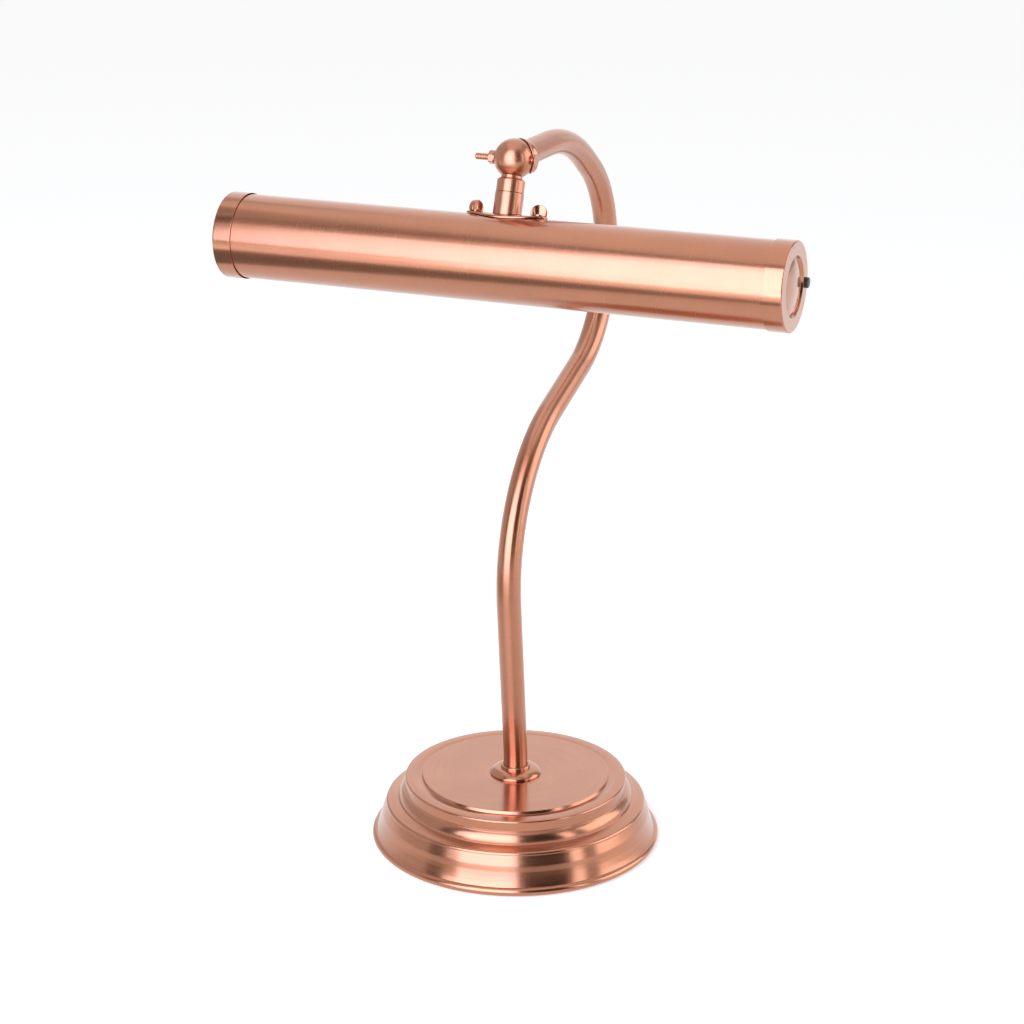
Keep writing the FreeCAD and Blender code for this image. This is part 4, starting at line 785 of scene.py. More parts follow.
@dataclass
class Base:
    """Spun base: shell with its rings and steps, collar, felt and the cord's rubber ring."""

    finishes: Finishes
    radius: float = 90.0
    height: float = 42.1
    wall: float = 1.2
    bead: float = 2.6
    floor_gap: float = 0.7
    disc: float = 57.9
    # the casting under the shell falls away outside this radius, and the shell stays clear of it
    weight_top: float = 54.0
    weight_edge: float = 64.0
    weight_slope: float = 0.3
    weight_gap: float = 0.1
    bore: float = 5.3
    inlet_hole: float = 4.4
    # the part of the flare that is laid out again round the cord's hole
    window_low: float = 7.0
    window_high: float = 18.0
    window_radius: float = 80.0
    window_half_angle: float = 8.0
    hole_drop: float = 0.6
    around: int = 288

    def outside(self) -> list[tuple]:
        """Corners of the shell's outside: disc, groove, ring, steps and flare, down to the bead."""
        height, middle = self.height, self.radius - self.bead
        bead_top = self.floor_gap + 2 * self.bead
        return [
            (self.disc, height),
            (self.disc + 0.7, height - 1.7, 14.0, 1),
            (self.disc + 4.6, height - 1.2, 30.0, -1),
            (68.3, height - 1.4, 1.2, -1),
            (69.1, height - 2.6),
            (69.4, 34.3),
            (70.0, 34.1),
            (70.0, 33.6, 9.0, -1),
            (73.4, 27.2),
            (79.4, 25.9, 1.85, -1),
            (81.2, 24.1),
            (83.5, 18.0, 60.0, 1),
            (middle, bead_top, self.bead, -1),
        ]

    def inlet(self) -> Placing:
        """The cord's inlet, square on the middle of the flare: Z points out of it."""
        mount = next(item for item in frame["record"]["mounts"] if item["name"] == "cable_inlet")
        out = np.array(mount["axis"], float)
        return Placing(np.array(mount["pos_m"]) / MM, np.array([[1, 0, 0], np.cross(out, [1, 0, 0]), out]))

    def shell_line(self) -> Line:
        """The shell's closed line: outside, round the bead, back along the inside and up the bore."""
        middle, bead_middle = self.radius - self.bead, self.floor_gap + self.bead
        outside = self.outside()
        inside = []
        for index, point in reversed(list(enumerate(outside))):
            arc = outside[index - 1][2:] if index else ()
            radius, level = point[0] - self.wall, point[1] - self.wall
            if radius < self.weight_edge:
                casting = self.height - self.wall - (radius - self.weight_top) * self.weight_slope
                level = max(level, casting + self.weight_gap)
            inside.append((radius, level, *((arc[0], -arc[1]) if arc else ())))
        bead = [(self.radius, bead_middle, self.bead, -1), (middle, self.floor_gap, self.bead, -1),
                (middle - self.bead, bead_middle)]
        bore = [(self.bore, self.height - self.wall), (self.bore, self.height)]
        return rounded_line(outside + bead + inside + bore, 0.25, closed=True, turn=6.0, longest=1.6)

    def shell(self) -> None:
        """The shell's line, turned, with a round hole for the cord through the back of the flare."""
        line = self.shell_line()
        angles = np.arange(self.around + 1) * 2 * math.pi / self.around
        radius, height = line.points.T
        flare = (height > self.window_low) & (height < self.window_high) & (radius > self.window_radius)
        walls = [ends_of(flare & (line.normals[:, 0] * facing > 0.5)) for facing in (1, -1)]
        rows = min(high - low for low, high in walls)
        walls = [((low + high - rows) // 2, (low + high - rows) // 2 + rows) for low, high in walls]
        columns = ends_of(np.abs(angles - math.pi / 2) < math.radians(self.window_half_angle))
        level = self.inlet().origin[2] - self.hole_drop

        def flat(span: np.ndarray) -> tuple[Callable, Callable]:
            """Lay the flare out flat about the hole: length round it, and length along the line."""
            order = span[np.argsort(height[span])]
            middle = float(np.interp(level, height[order], line.lengths[order]))
            mean = float(np.interp(level, height[order], radius[order]))
            return (lambda turn, run: ((turn - math.pi / 2) * mean, run - middle),
                    lambda p, q: (math.pi / 2 + p / mean, middle + q))

        skin = Skin()
        turn_pierced(skin, line, UPRIGHT, self.around, walls, columns, self.inlet_hole, flat)
        skin.make("base_shell_spun", "stand", "copper_plated_steel", "base_shell",
                  self.finishes.get("spun"))

    def collar(self) -> None:
        """Domed rosette round the stem's foot, with a raised lip."""
        bore, edge, lip, foot = 7.65, 16.0, 9.3, self.height
        corners = [
            (bore, foot), (edge, foot), (edge, foot + 0.9, 8.0, 1), (lip + 1.1, foot + 4.0),
            (lip, foot + 4.0), (lip, foot + 5.35), (lip - 0.55, foot + 5.9), (bore, foot + 5.9),
        ]
        self.finishes.turn("collar_rosette", "stand", "copper_plated_brass", "stem_collar", "turned",
                           rounded_line(corners, 0.3, closed=True, longest=1.0), UPRIGHT, 96)

    def felt(self) -> None:
        """Felt disc with soft edges, whose lower face stays flat where it rests."""
        edge, thick = 84.0, 1.6
        corners = [(0.0, 0.0), (edge, 0.0), (edge, thick), (0.0, thick)]
        self.finishes.turn("felt_disc", "stand", "black_felt", "felt_pad", "felt",
                           rounded_line(corners, 0.6, longest=3.0), UPRIGHT, 144)

    def grommet(self) -> None:
        """Rubber ring in the cord's hole: a flange outside, a neck and a flange inside."""
        bore, neck, inner, outer, edge = 3.1, 4.3, 5.3, 5.5, 0.8
        length, seat = 5.31, -1.6
        neck_end = -(length - 1.4)
        corners = [
            (bore, -length), (inner, -length), (inner, neck_end), (neck, neck_end), (neck, seat),
            (outer, seat), (outer, -edge, edge, 1), (outer - edge, 0.0), (bore, 0.0),
        ]
        self.finishes.turn("cord_grommet", "stand", "black_rubber", "cable_grommet", "rubber",
                           rounded_line(corners, 0.2, closed=True, longest=1.0), self.inlet(), 64)

    def build(self) -> None:
        """Make the base's pieces and dress the ones hidden inside."""
        self.shell()
        self.collar()
        self.felt()
        self.grommet()
        inner = {
            "base_weight": "iron", "base_plate": "zinc", "plate_screws": "zinc", "stem_bush": "brass",
            "stem_nipple": "zinc", "stem_washer": "zinc", "stem_nut": "zinc", "terminal_block": "cream",
            "terminal_screws": "brass", "cord_clamp": "phenolic", "block_screws": "zinc",
            "clamp_screws": "zinc", "earth_tag": "brass", "earth_screw": "zinc", "stem_lead": "sheath",
        }
        for node, finish in inner.items():
            self.finishes.dress(node, finish)


@dataclass
class Stem:
    """Swan-neck tube: a circle carried along runs and tangent arcs in the middle plane."""

    finishes: Finishes
    radius: float = 7.5
    wall: float = 1.3
    foot: float = 42.1
    around: int = 64

    def route(self) -> tuple[np.ndarray, np.ndarray, np.ndarray]:
        """The centre line as (y, z) points, its heading from +Z towards +Y, and its running length."""
        lean, back, hook = -6.2, 77.0, -126.6
        arrive = -(lean + back + hook) - 90.0
        parts = [(10.0, 0.0), (60.0, lean), (99.2, 0.0), (100.0, back), (51.2, 0.0), (70.0, hook),
                 (13.0, 0.0), (110.0, arrive), (38.5, 0.0)]
        point = np.array([0.0, self.foot])
        heading, run = 0.0, 0.0
        points, headings, runs = [point[None]], [np.array([0.0])], [np.array([0.0])]
        for size, turn in parts:
            if turn == 0.0:
                steps = np.linspace(0, 1, int(size / 4) + 2)[1:]
                ahead = np.array([math.sin(heading), math.cos(heading)])
                points.append(point + steps[:, None] * size * ahead)
                headings.append(np.full(len(steps), heading))
                runs.append(run + steps * size)
            else:
                sweep = math.radians(turn)
                way = math.copysign(1.0, sweep)
                steps = np.linspace(0, 1, int(abs(turn) / 2) + 2)[1:]
                angles = heading + steps * sweep
                across = np.array([math.cos(heading), -math.sin(heading)]) * size * way
                offset = np.column_stack([np.cos(angles), -np.sin(angles)]) * size * way
                points.append(point + across - offset)
                headings.append(angles)
                runs.append(run + steps * size * abs(sweep))
            point, heading, run = points[-1][-1], float(headings[-1][-1]), float(runs[-1][-1])
        return np.concatenate(points), np.concatenate(headings), np.concatenate(runs)

    def build(self) -> None:
        """The tube's outside and bore, joined by rounded rims at both ends.

        A point is the centre plus the radius times (cos a across, sin a along the turned normal).
        """
        points, headings, runs = self.route()
        skin = Skin()
        angles = np.arange(self.around) * 2 * math.pi / self.around
        side = np.stack([np.zeros_like(headings), np.cos(headings), -np.sin(headings)], axis=-1)
        round_out = np.cos(angles)[None, :, None] * np.array([1.0, 0, 0]) + \
            np.sin(angles)[None, :, None] * side[:, None, :]
        centre = np.column_stack([np.zeros(len(points)), points])[:, None, :]
        grids = []
        for radius, way in ((self.radius, 1.0), (self.radius - self.wall, -1.0)):
            spots = centre + round_out * radius
            lays = np.stack(np.broadcast_arrays(
                runs[:, None], np.cos(angles) * radius, np.sin(angles) * radius), axis=-1)
            ids = skin.add(spots, round_out * way, lays)
            grids.append(np.column_stack([ids, ids[:, 0]]))
        turns = np.linspace(0, 2 * math.pi * self.radius, self.around + 1)
        uv = np.stack(np.broadcast_arrays(runs[:, None], turns[None]), axis=-1)
        for grid in grids:
            skin.weave(grid, uv)
        for row in (0, -1):
            skin.weave(np.stack([grids[0][row], grids[1][row]]), uv[:2])
        skin.make("stem_swan_neck", "stand", "copper_plated_steel", "stem_tube", self.finishes.get("stem"))


@dataclass
class Knuckle:
    """Ball joint: ball with its neck, cup on the stem, and the clamp screw across it."""

    finishes: Finishes
    ball: float = 11.7
    waist: float = 6.1
    neck: float = 8.15
    cup: float = 13.4
    cup_gap: float = 0.15
    cup_rim: float = 0.9
    cup_mouth: float = 5.6
    cup_flat: float = 0.3
    cup_around: int = 144
    flat_depth: float = 0.8
    thread_hole: float = 2.05
    washer_gap: float = 0.2
    washer_height: float = 0.8
    nut_height: float = 3.2
    screw_end: float = 8.7
    screw_proud: float = 0.4

    @property
    def washer_face(self) -> float:
        """How far to the left the washer starts: at the ball's flat, with a gap."""
        return self.ball - self.flat_depth + self.washer_gap

    def ball_and_neck(self) -> None:
        """Ball, waist and neck as one line, turned; the ball's left side is cut flat for the washer."""
        waist_level = math.sqrt(self.ball**2 - self.waist**2)
        neck_top = waist_level + 1.5
        neck_bottom = neck_top + 8.2
        corners = [
            (0.0, self.ball, self.ball, -1), (self.ball, 0.0, self.ball, -1), (self.waist, -waist_level),
            (self.waist, -neck_top), (self.neck - 1.25, -neck_top), (self.neck, -(neck_top + 1.25)),
            (self.neck, -neck_bottom), (0.0, -neck_bottom),
        ]
        flat = self.ball - self.flat_depth

        def cut_flat(own: np.ndarray) -> np.ndarray:
            """Push what lies beyond the flat back onto it."""
            own = own.copy()
            own[..., 0] = np.maximum(own[..., 0], -flat)
            return own

        self.finishes.turn("ball_and_neck", "knuckle", "copper_plated_brass", "knuckle_ball", "satin",
                           rounded_line(corners, 0.22, turn=4.0, longest=1.0), HEAD, 128, cut_flat)

    def washer(self) -> None:
        """Washer on the ball's flat."""
        low, high, edge = self.washer_face, self.washer_face + self.washer_height, 4.2
        corners = [(self.thread_hole, low), (edge, low), (edge, high), (self.thread_hole, high)]
        self.finishes.turn("clamp_washer", "stand", "copper_plated_brass", "pivot_washer", "turned",
                           rounded_line(corners, 0.12, closed=True, longest=0.8), CUP.lying(-1), 64)

    def nut(self) -> None:
        """Hexagon nut on the clamp screw's left end.

        The nut's side at an angle is the hexagon's flat, or the cone of its chamfer where that is nearer.
        """
        low, half = self.washer_face + self.washer_height, 3.5
        high, blank = low + self.nut_height, half * 1.14
        corners = [(self.thread_hole, low), (blank, low), (blank, high), (self.thread_hole, high)]

        def hexagon(own: np.ndarray) -> np.ndarray:
            """Draw the turned blank in to a hexagon with chamfered corners."""
            own = own.copy()
            radius = np.hypot(own[..., 0], own[..., 1])
            angle = np.arctan2(own[..., 1], own[..., 0])
            sixth = math.pi / 3
            flats = half / np.cos(np.mod(angle, sixth) - sixth / 2)
            near = np.minimum(own[..., 2] - low, high - own[..., 2])
            chamfer = half * 0.97 + near * 1.7
            outer = radius > half * 0.9
            wanted = np.where(outer, np.minimum(np.minimum(flats, chamfer), radius), radius)
            own[..., :2] *= (wanted / np.maximum(radius, 1e-6))[..., None]
            return own

        line = rounded_line(corners, 0.12, closed=True, longest=0.3).without_normals()
        self.finishes.turn("clamp_nut", "stand", "copper_plated_brass", "pivot_nut", "turned", line,
                           CUP.lying(-1), 120, hexagon)

    def screw(self) -> None:
        """Clamp screw: a countersunk head on the right and a thread on its left end.

        The thread's radius is the bolt's less a ridge that climbs one pitch each turn.
        """
        face = self.cup + self.screw_proud
        tip = -(self.washer_face + self.washer_height + self.nut_height + self.screw_end)
        pitch, depth, radius, point = 1.0, 0.22, 1.98, 0.5
        head, head_depth = 3.7, 1.7
        corners = [(0.0, tip), (radius - point, tip), (radius, tip + point), (radius, face - head_depth),
                   (head, face), (0.0, face)]

        def thread(own: np.ndarray) -> np.ndarray:
            """Cut the thread into the shank near the tip."""
            own = own.copy()
            angle = np.arctan2(own[..., 1], own[..., 0])
            wave = np.abs(np.mod(own[..., 2] / pitch - angle / (2 * math.pi), 1.0) * 2 - 1)
            begin = np.clip((own[..., 2] - tip) / 0.8, 0, 1)
            end = np.clip((-self.ball - own[..., 2]) / 0.5, 0, 1)
            own[..., :2] *= (1 - depth / radius * wave * (begin * end))[..., None]
            return own

        line = rounded_line(corners, 0.1, turn=20.0, longest=0.12).without_normals()
        self.finishes.turn("clamp_screw", "stand", "copper_plated_brass", "pivot_bolt", "turned", line,
                           CUP.lying(1), 48, thread)

    def arm_cup(self) -> None:
        """Cup that holds the ball from the right and behind, with its boss and spigot in the stem's end.

        The cup is a grid about the axis of its mouth: a polar angle from the far pole up to the rim,
        times an angle round the axis. The rim lies in the mouth's plane, and is drawn back wherever
        the neck swings through. The wall thins towards the rim, and the right side is cut flat.
        """
        mouth = math.radians(60.0)
        axis = np.array([math.cos(mouth), math.sin(mouth), 0.0])
        side = np.array([-math.sin(mouth), math.cos(mouth), 0.0])
        up = np.array([0.0, 0.0, 1.0])
        azimuth = np.arange(self.cup_around) * 2 * math.pi / self.cup_around
        level = np.cos(azimuth)[:, None] * side + np.sin(azimuth)[:, None] * up
        inner = self.ball + self.cup_gap

        def ways(polar: np.ndarray) -> np.ndarray:
            """Directions from the ball's centre: sin p times level plus cos p times the axis."""
            return np.sin(polar)[..., None] * level + np.cos(polar)[..., None] * axis

        reach = math.acos(self.cup_mouth / inner)
        tries = np.linspace(0.0, reach, 240)[:, None] * np.ones(self.cup_around)
        spots = ways(tries) * self.cup
        # the neck swings through what lies left of, before and below these
        right, behind, below = 8.8, 10.9, -4.5
        slot = (spots[..., 0] < right) & (spots[..., 1] < behind) & (spots[..., 2] < below)
        limit = np.where(slot.any(axis=0), tries[slot.argmax(axis=0), 0], reach)
        window = np.hanning(9) / np.hanning(9).sum()
        limit = np.convolve(np.concatenate([limit[-4:], limit, limit[:4]]), window, "valid")
        share = np.linspace(0.0, 1.0, 40)[:, None]
        facing = ways(share * limit)
        along = facing[..., 0]
        outer = along + np.sqrt(self.cup**2 - 1.0 + along**2)
        outer = np.minimum(outer, (self.cup + self.cup_flat) / np.maximum(along, 0.1))
        rim = np.clip((share - 0.7) / 0.3, 0.0, 1.0)
        rim = rim * rim * (3 - 2 * rim)
        outer = outer + (inner + self.cup_rim - outer) * rim
        skin = Skin()
        bends = np.linspace(0.0, math.pi, 7)[1:-1]
        half, middle = self.cup_rim / 2, inner + self.cup_rim / 2
        lip = ways(limit + np.sin(bends)[:, None] * half / middle)
        turn_back = lip * (middle + np.cos(bends) * half)[:, None, None]
        points = np.concatenate([facing * outer[..., None], turn_back, facing[::-1] * inner])
        ids = skin.add(CUP.place(points), None, points)
        ids[0], ids[-1] = ids[0, 0], ids[-1, 0]
        skin.weave(np.column_stack([ids, ids[:, 0]]))
        back = Placing(CUP.origin, np.array([[0, 0, 1], [1, 0, 0], [0, 1, 0]], float))
        boss = [(6.2, 10.6), (7.5, 10.6), (7.5, 13.5), (6.2, 13.5)]
        turn_line(skin, rounded_line(boss, 0.1, closed=True, longest=1.0), back, 64)
        spigot = [(0.0, 12.4), (6.15, 12.4), (6.15, 21.5), (0.0, 21.5)]
        turn_line(skin, rounded_line(spigot, 0.1, longest=2.0), back, 64)
        skin.make("arm_cup_hollowed", "stand", "copper_plated_brass", "arm_cup",
                  self.finishes.get("plate"))

    def build(self) -> None:
        """Make the joint's pieces and dress the swivel inside the neck."""
        self.ball_and_neck()
        self.washer()
        self.nut()
        self.screw()
        self.arm_cup()
        for node in ("swivel_nipple", "swivel_washer", "swivel_nut"):
            self.finishes.dress(node, "zinc")


@dataclass
class Shade:
    """Shade: slotted tube with its end caps, the saddle and sleeve that carry it, and what it holds."""

    finishes: Finishes
    half: float = 170.5
    radius: float = 25.0
    wall: float = 1.0
    slot_half_length: float = 150.0
    slot_half_width: float = 17.5
    slot_corner: float = 5.0
    slot_direction: float = 56.0
    cap_fit: float = 0.1
    cap_wall: float = 0.65
    cap_face: float = 175.0
    cap_floor: float = 172.7
    cap_rim: float = 17.4
    cap_edge: float = 163.2
    button_offset: float = 20.8
    button_radius: float = 3.05
    button_gap: float = 0.1
    cap_turn: float = 13.5
    saddle_inner: float = 25.15
    saddle_outer: float = 26.35
    sleeve_radius: float = 8.4
    sleeve_top: float = 38.366
    sleeve_bore: float = 5.2
    thumb_offset: float = 19.5

    def tube(self) -> None:
        """A sheet of (x, angle) rolled into a tube, outside and inside, with a rounded slot.

        The sheet keeps a window open round the slot. Its edge moves to the slot's outline: the
        window's point drawn in to the rectangle of the corner centres, plus the corner radius.
        """
        skin = Skin()
        margin = 4.0
        window_x = self.slot_half_length + margin
        window_w = self.slot_half_width + 1.6
        slot = math.radians(self.slot_direction)
        towards = np.array([0.0, math.sin(slot), -math.cos(slot)])
        across = np.array([0.0, math.cos(slot), math.sin(slot)])
        gate = math.asin(window_w / self.radius)
        slot_steps, rest_steps = 40, 106
        near = np.linspace(-gate, gate, slot_steps + 1)
        far = np.linspace(gate, 2 * math.pi - gate, rest_steps + 1)
        angles = np.concatenate([near, far[1:]])
        # the steps along the tube are finer near the slot's end
        finer = window_x - 16
        right = np.concatenate([np.linspace(0, finer, 17)[1:], np.linspace(finer, window_x, 13)[1:],
                                np.linspace(window_x, self.half, 6)[1:]])
        lengths = np.concatenate([-right[::-1], [0.0], right])
        first, last = int(np.argmin(np.abs(lengths + window_x))), int(np.argmin(np.abs(lengths - window_x)))
        rim = 0.22
        grids, edges = [], []
        for radius, way in ((self.radius, 1.0), (self.radius - self.wall, -1.0)):
            inner_gate = math.asin(window_w / radius)
            level = np.arcsin(np.clip(np.sin(angles) * self.radius / radius, -1, 1))
            beyond = np.interp(angles, [gate, 2 * math.pi - gate], [inner_gate, 2 * math.pi - inner_gate])
            turned = np.where(angles <= gate, level, beyond)

            def roll(x: np.ndarray, angle: np.ndarray, reach: float | np.ndarray
                     ) -> tuple[np.ndarray, np.ndarray]:
                """The rolled sheet's points and outward directions."""
                x, angle, reach = np.broadcast_arrays(x, angle, reach)
                facing = np.cos(angle)[..., None] * towards + np.sin(angle)[..., None] * across
                spot = facing * reach[..., None]
                spot[..., 0] = x
                return spot, facing

            spot, facing = roll(lengths[:, None], turned[None, :-1], radius)
            ids = skin.add(SHADE.place(spot), SHADE.aim(facing) * way, spot)
            ids = np.column_stack([ids, ids[:, 0]])
            uv = np.stack(np.broadcast_arrays(lengths[:, None], angles[None] * radius), axis=-1)
            rows, columns = np.indices((len(lengths) - 1, len(angles) - 1))
            skip = (rows >= first) & (rows < last) & (columns < slot_steps)
            mark = 0 if way > 0 else 1
            skin.weave(ids, uv, skip, mark)
            grids.append(ids)
            loop_rows = np.concatenate([np.full(slot_steps, first), np.arange(first, last),
                                        np.full(slot_steps, last), np.arange(last, first, -1)])
            loop_columns = np.concatenate([np.arange(slot_steps), np.full(last - first, slot_steps),
                                           np.arange(slot_steps, 0, -1), np.zeros(last - first, int)])
            flat = np.column_stack([lengths[loop_rows], radius * np.sin(turned[loop_columns])])
            core = np.array([self.slot_half_length, self.slot_half_width]) - self.slot_corner
            corner = np.clip(flat, -core, core)
            out = (flat - corner) / np.hypot(*(flat - corner).T)[:, None]
            slot_edge = corner + out * self.slot_corner
            start = slot_edge + out * rim
            shares = np.linspace(1, 0, 5)[1:]
            sheets = start + (flat - start) * shares[:, None, None]
            offsets = np.array([0.3, 0.0])[:, None, None]
            sheets = np.concatenate([sheets, slot_edge + out * rim * offsets])
            reach = np.full(len(sheets), radius)
            reach[-2:] -= way * rim * np.array([0.3, 1.0])
            spot, facing = roll(sheets[..., 0], np.arcsin(sheets[..., 1] / reach[:, None]), reach[:, None])
            inwards = -(out[:, :1] * np.array([1.0, 0, 0]) + out[:, 1:] * across)
            facing = facing * way
            facing[-2] = (facing[-2] + inwards) * math.sqrt(0.5)
            facing[-1] = inwards
            new = skin.add(SHADE.place(spot), SHADE.aim(facing), spot)
            ring = np.vstack([ids[loop_rows, loop_columns][None], new])
            ring_uv = np.concatenate([flat[None], sheets])
            skin.weave(np.column_stack([ring, ring[:, 0]]),
                       np.concatenate([ring_uv, ring_uv[:, :1]], axis=1), mark=mark)
            edges.append(np.append(new[-1], new[-1, 0]))
        skin.weave(np.stack(edges))
        for row in (0, -1):
            skin.weave(np.stack([grids[0][row], grids[1][row]]))
        skin.make("shade_tube_slotted", "shade", "copper_plated_steel", "shade_tube",
                  self.finishes.get("tube"), self.finishes.get("enamel"))

    def cap_corners(self) -> list[tuple]:
        """Corners of a cap from its middle: dome, recess, rim, side and back along the inside."""
        dome, dome_radius, crown, recess, lead, edge = 16.5, 76.5, 1.8, 1.5, 0.4, 0.8
        outside, inside = self.radius + self.cap_fit + self.cap_wall, self.radius + self.cap_fit
        face, floor = self.cap_face, self.cap_floor
        return [
            (0.0, face - recess + crown, dome_radius, -1), (dome, face - recess), (self.cap_rim, face),
            (outside - edge, face, edge, -1), (outside, face - edge), (outside, self.cap_edge),
            (inside + lead, self.cap_edge), (inside, self.cap_edge + 2 * lead), (inside, floor),
            (0.0, floor),
        ]

    def caps(self) -> None:
        """Both end caps: one line, turned about the shade's length; the right one is pierced."""
        line = rounded_line(self.cap_corners(), 0.2, turn=7.0, longest=0.9)
        around, hole = 160, self.button_radius + self.button_gap
        self.finishes.turn("cap_left", "shade", "copper_plated_steel", "end_cap_left", "turned", line,
                           SHADE.lying(-1), around)
        place = leaning(SHADE.origin, TILT - self.cap_turn).lying(1).turned(180)
        angles = np.arange(around + 1) * 2 * math.pi / around
        radius, height = line.points.T
        gate = math.asin(hole / self.button_offset) * 1.25
        columns = ends_of(np.abs(angles - math.pi) < gate)
        ring = (radius > self.cap_rim + 0.02) & (radius < 24.6)
        walls = [ends_of(ring & (np.abs(height - level) < 0.06)) for level in (self.cap_face, self.cap_floor)]
        rows = min(high - low for low, high in walls)
        walls = [(walls[0][0], walls[0][0] + rows), (walls[1][1] - rows, walls[1][1])]

        def flat(span: np.ndarray) -> tuple[Callable, Callable]:
            """Lay the cap's end out flat about the button: reach times (cos, sin), moved to its middle."""
            order = span[np.argsort(radius[span])]

            def lay_out(turn: np.ndarray, run: np.ndarray) -> tuple[np.ndarray, np.ndarray]:
                """Flat coordinates from an angle and a length along the line."""
                reach = np.interp(run, line.lengths, radius)
                return reach * np.cos(turn) + self.button_offset, reach * np.sin(turn)

            def wrap(p: np.ndarray, q: np.ndarray) -> tuple[np.ndarray, np.ndarray]:
                """The way back."""
                reach = np.hypot(p - self.button_offset, q)
                return (np.mod(np.arctan2(q, p - self.button_offset), 2 * math.pi),
                        np.interp(reach, radius[order], line.lengths[order]))

            return lay_out, wrap

        skin = Skin()
        turn_pierced(skin, line, place, around, walls, columns, hole, flat)
        skin.make("cap_right", "shade", "copper_plated_steel", "end_cap_right", self.finishes.get("turned"))

    def button(self) -> None:
        """Push button: a short rod with a slightly crowned end, turned."""
        inner, outer, crown, edge = 172.8, 177.4, 0.25, 0.5
        corners = [
            (0.0, outer, 14.0, -1), (self.button_radius - edge, outer - crown, edge, -1),
            (self.button_radius, outer - crown - edge), (self.button_radius, inner), (0.0, inner),
        ]
        place = leaning(SHADE.origin, TILT - self.cap_turn).moved(y=self.button_offset).lying(1)
        self.finishes.turn("push_button_black", "push_button", "black_button", "switch_button", "phenolic",
                           rounded_line(corners, 0.15, turn=10.0, longest=0.6), place, 64)

    def saddle(self) -> None:
        """Saddle plate: a slab whose plan is two long arcs and two short ends, bent onto the tube.

        A point at plan (x, y) and reach r from the shade's middle line lies at z = sqrt(r^2 - y^2).
        """
        half_length, half_end, side, end = 21.5, 4.6, 37.0, 4.8
        corners = [(half_length, -half_end, end, 1), (half_length, half_end, side, 1),
                   (-half_length, half_end, end, 1), (-half_length, -half_end, side, 1)]
        outline = rounded_line(corners, 0.5, closed=True, turn=6.0, longest=1.2)
        half = (self.saddle_outer - self.saddle_inner) / 2
        plan, height, out, up, facing = slab(outline, np.zeros(2), half, 0.45, 14)
        reach = (self.saddle_inner + self.saddle_outer) / 2 + height
        radial = np.stack([np.zeros_like(reach), plan[..., 1] / reach,
                           np.sqrt(1 - (plan[..., 1] / reach)**2)], axis=-1)
        points = np.stack([plan[..., 0], plan[..., 1], np.sqrt(reach**2 - plan[..., 1]**2)], axis=-1)
        sideways = np.concatenate([facing, np.zeros_like(facing[..., :1])], axis=-1)
        normals = sideways * out[:, None, None] + radial * up[:, None, None]
        skin = Skin()
        weave_slab(skin, SHADE, points, normals)
        skin.make("saddle_curved", "shade", "copper_plated_brass", "saddle_plate",
                  self.finishes.get("plate"))

    def sleeve(self) -> None:
        """Sleeve between neck and saddle: a turned ring whose lower end is seated on the saddle.

        A height h of the ring moves down by a share that grows from none at the top to the whole
        way to the saddle's curve, z = sqrt(r^2 - y^2), at the bottom.
        """
        seat, low = self.saddle_outer + 0.05, 26.0
        bore, outer, top = self.sleeve_bore, self.sleeve_radius, self.sleeve_top
        corners = [(bore, low), (outer, low), (outer, top), (bore, top)]

        def sit(own: np.ndarray) -> np.ndarray:
            """Seat the lower end on the saddle."""
            own = own.copy()
            bottom = np.sqrt(seat**2 - own[..., 1]**2)
            own[..., 2] = bottom + (own[..., 2] - low) * (top - bottom) / (top - low)
            return own

        self.finishes.turn("neck_sleeve_seated", "shade", "copper_plated_brass", "neck_sleeve", "satin",
                           rounded_line(corners, 0.3, closed=True, longest=1.0), SHADE, 96, sit)

    def thumb(self, side: str) -> None:
        """Thumb screw: shank and collar turned, and an arched leaf with a dished face each side.

        The leaf's half thickness is its own less the dish, which is the sphere's sagitta from its middle.
        """
        way, turn = (-1, 72.0) if side == "left" else (1, 22.0)
        place = SHADE.moved(x=self.thumb_offset * way).turned(turn)
        seat, collar, top, arch, half = 26.4, 27.0, 33.0, 4.85, 1.6
        dish, dish_radius = 0.9, 9.0
        boss, flange, shank, shank_end = 2.2, 3.6, 1.95, 16.6
        corners = [(0.0, collar + 0.4), (boss, collar + 0.4), (boss, collar), (flange, collar),
                   (flange, seat), (shank, seat), (shank, shank_end + 0.4), (shank - 0.35, shank_end),
                   (0.0, shank_end)]
        skin = Skin()
        turn_line(skin, rounded_line(corners, 0.12, turn=12.0, longest=1.2), place, 48)
        foot, foot_level = arch - 0.25, seat + 0.1
        leaf = [(-foot, foot_level), (foot, foot_level), (arch, top - arch, arch, 1), (-arch, top - arch)]
        outline = rounded_line(leaf, 0.35, closed=True, turn=6.0, longest=0.5)
        centre = np.array([0.0, (seat + top) / 2])
        plan, height, out, up, facing = slab(outline, centre, half, 0.5, 16)
        away = np.hypot(*np.moveaxis((plan - centre) * np.array([1.15, 0.85]), -1, 0))
        hollow = np.clip(dish - away**2 / (2 * dish_radius), 0, None) * np.abs(up)[:, None]
        height = np.sign(height) * (np.abs(height) - hollow)
        points = np.stack([plan[..., 0], height, plan[..., 1]], axis=-1)
        weave_slab(skin, place, points, None)
        skin.make(f"thumb_{side}_arched", f"thumb_{side}", "copper_plated_brass", f"thumb_screw_{side}",
                  self.finishes.get("plate"))

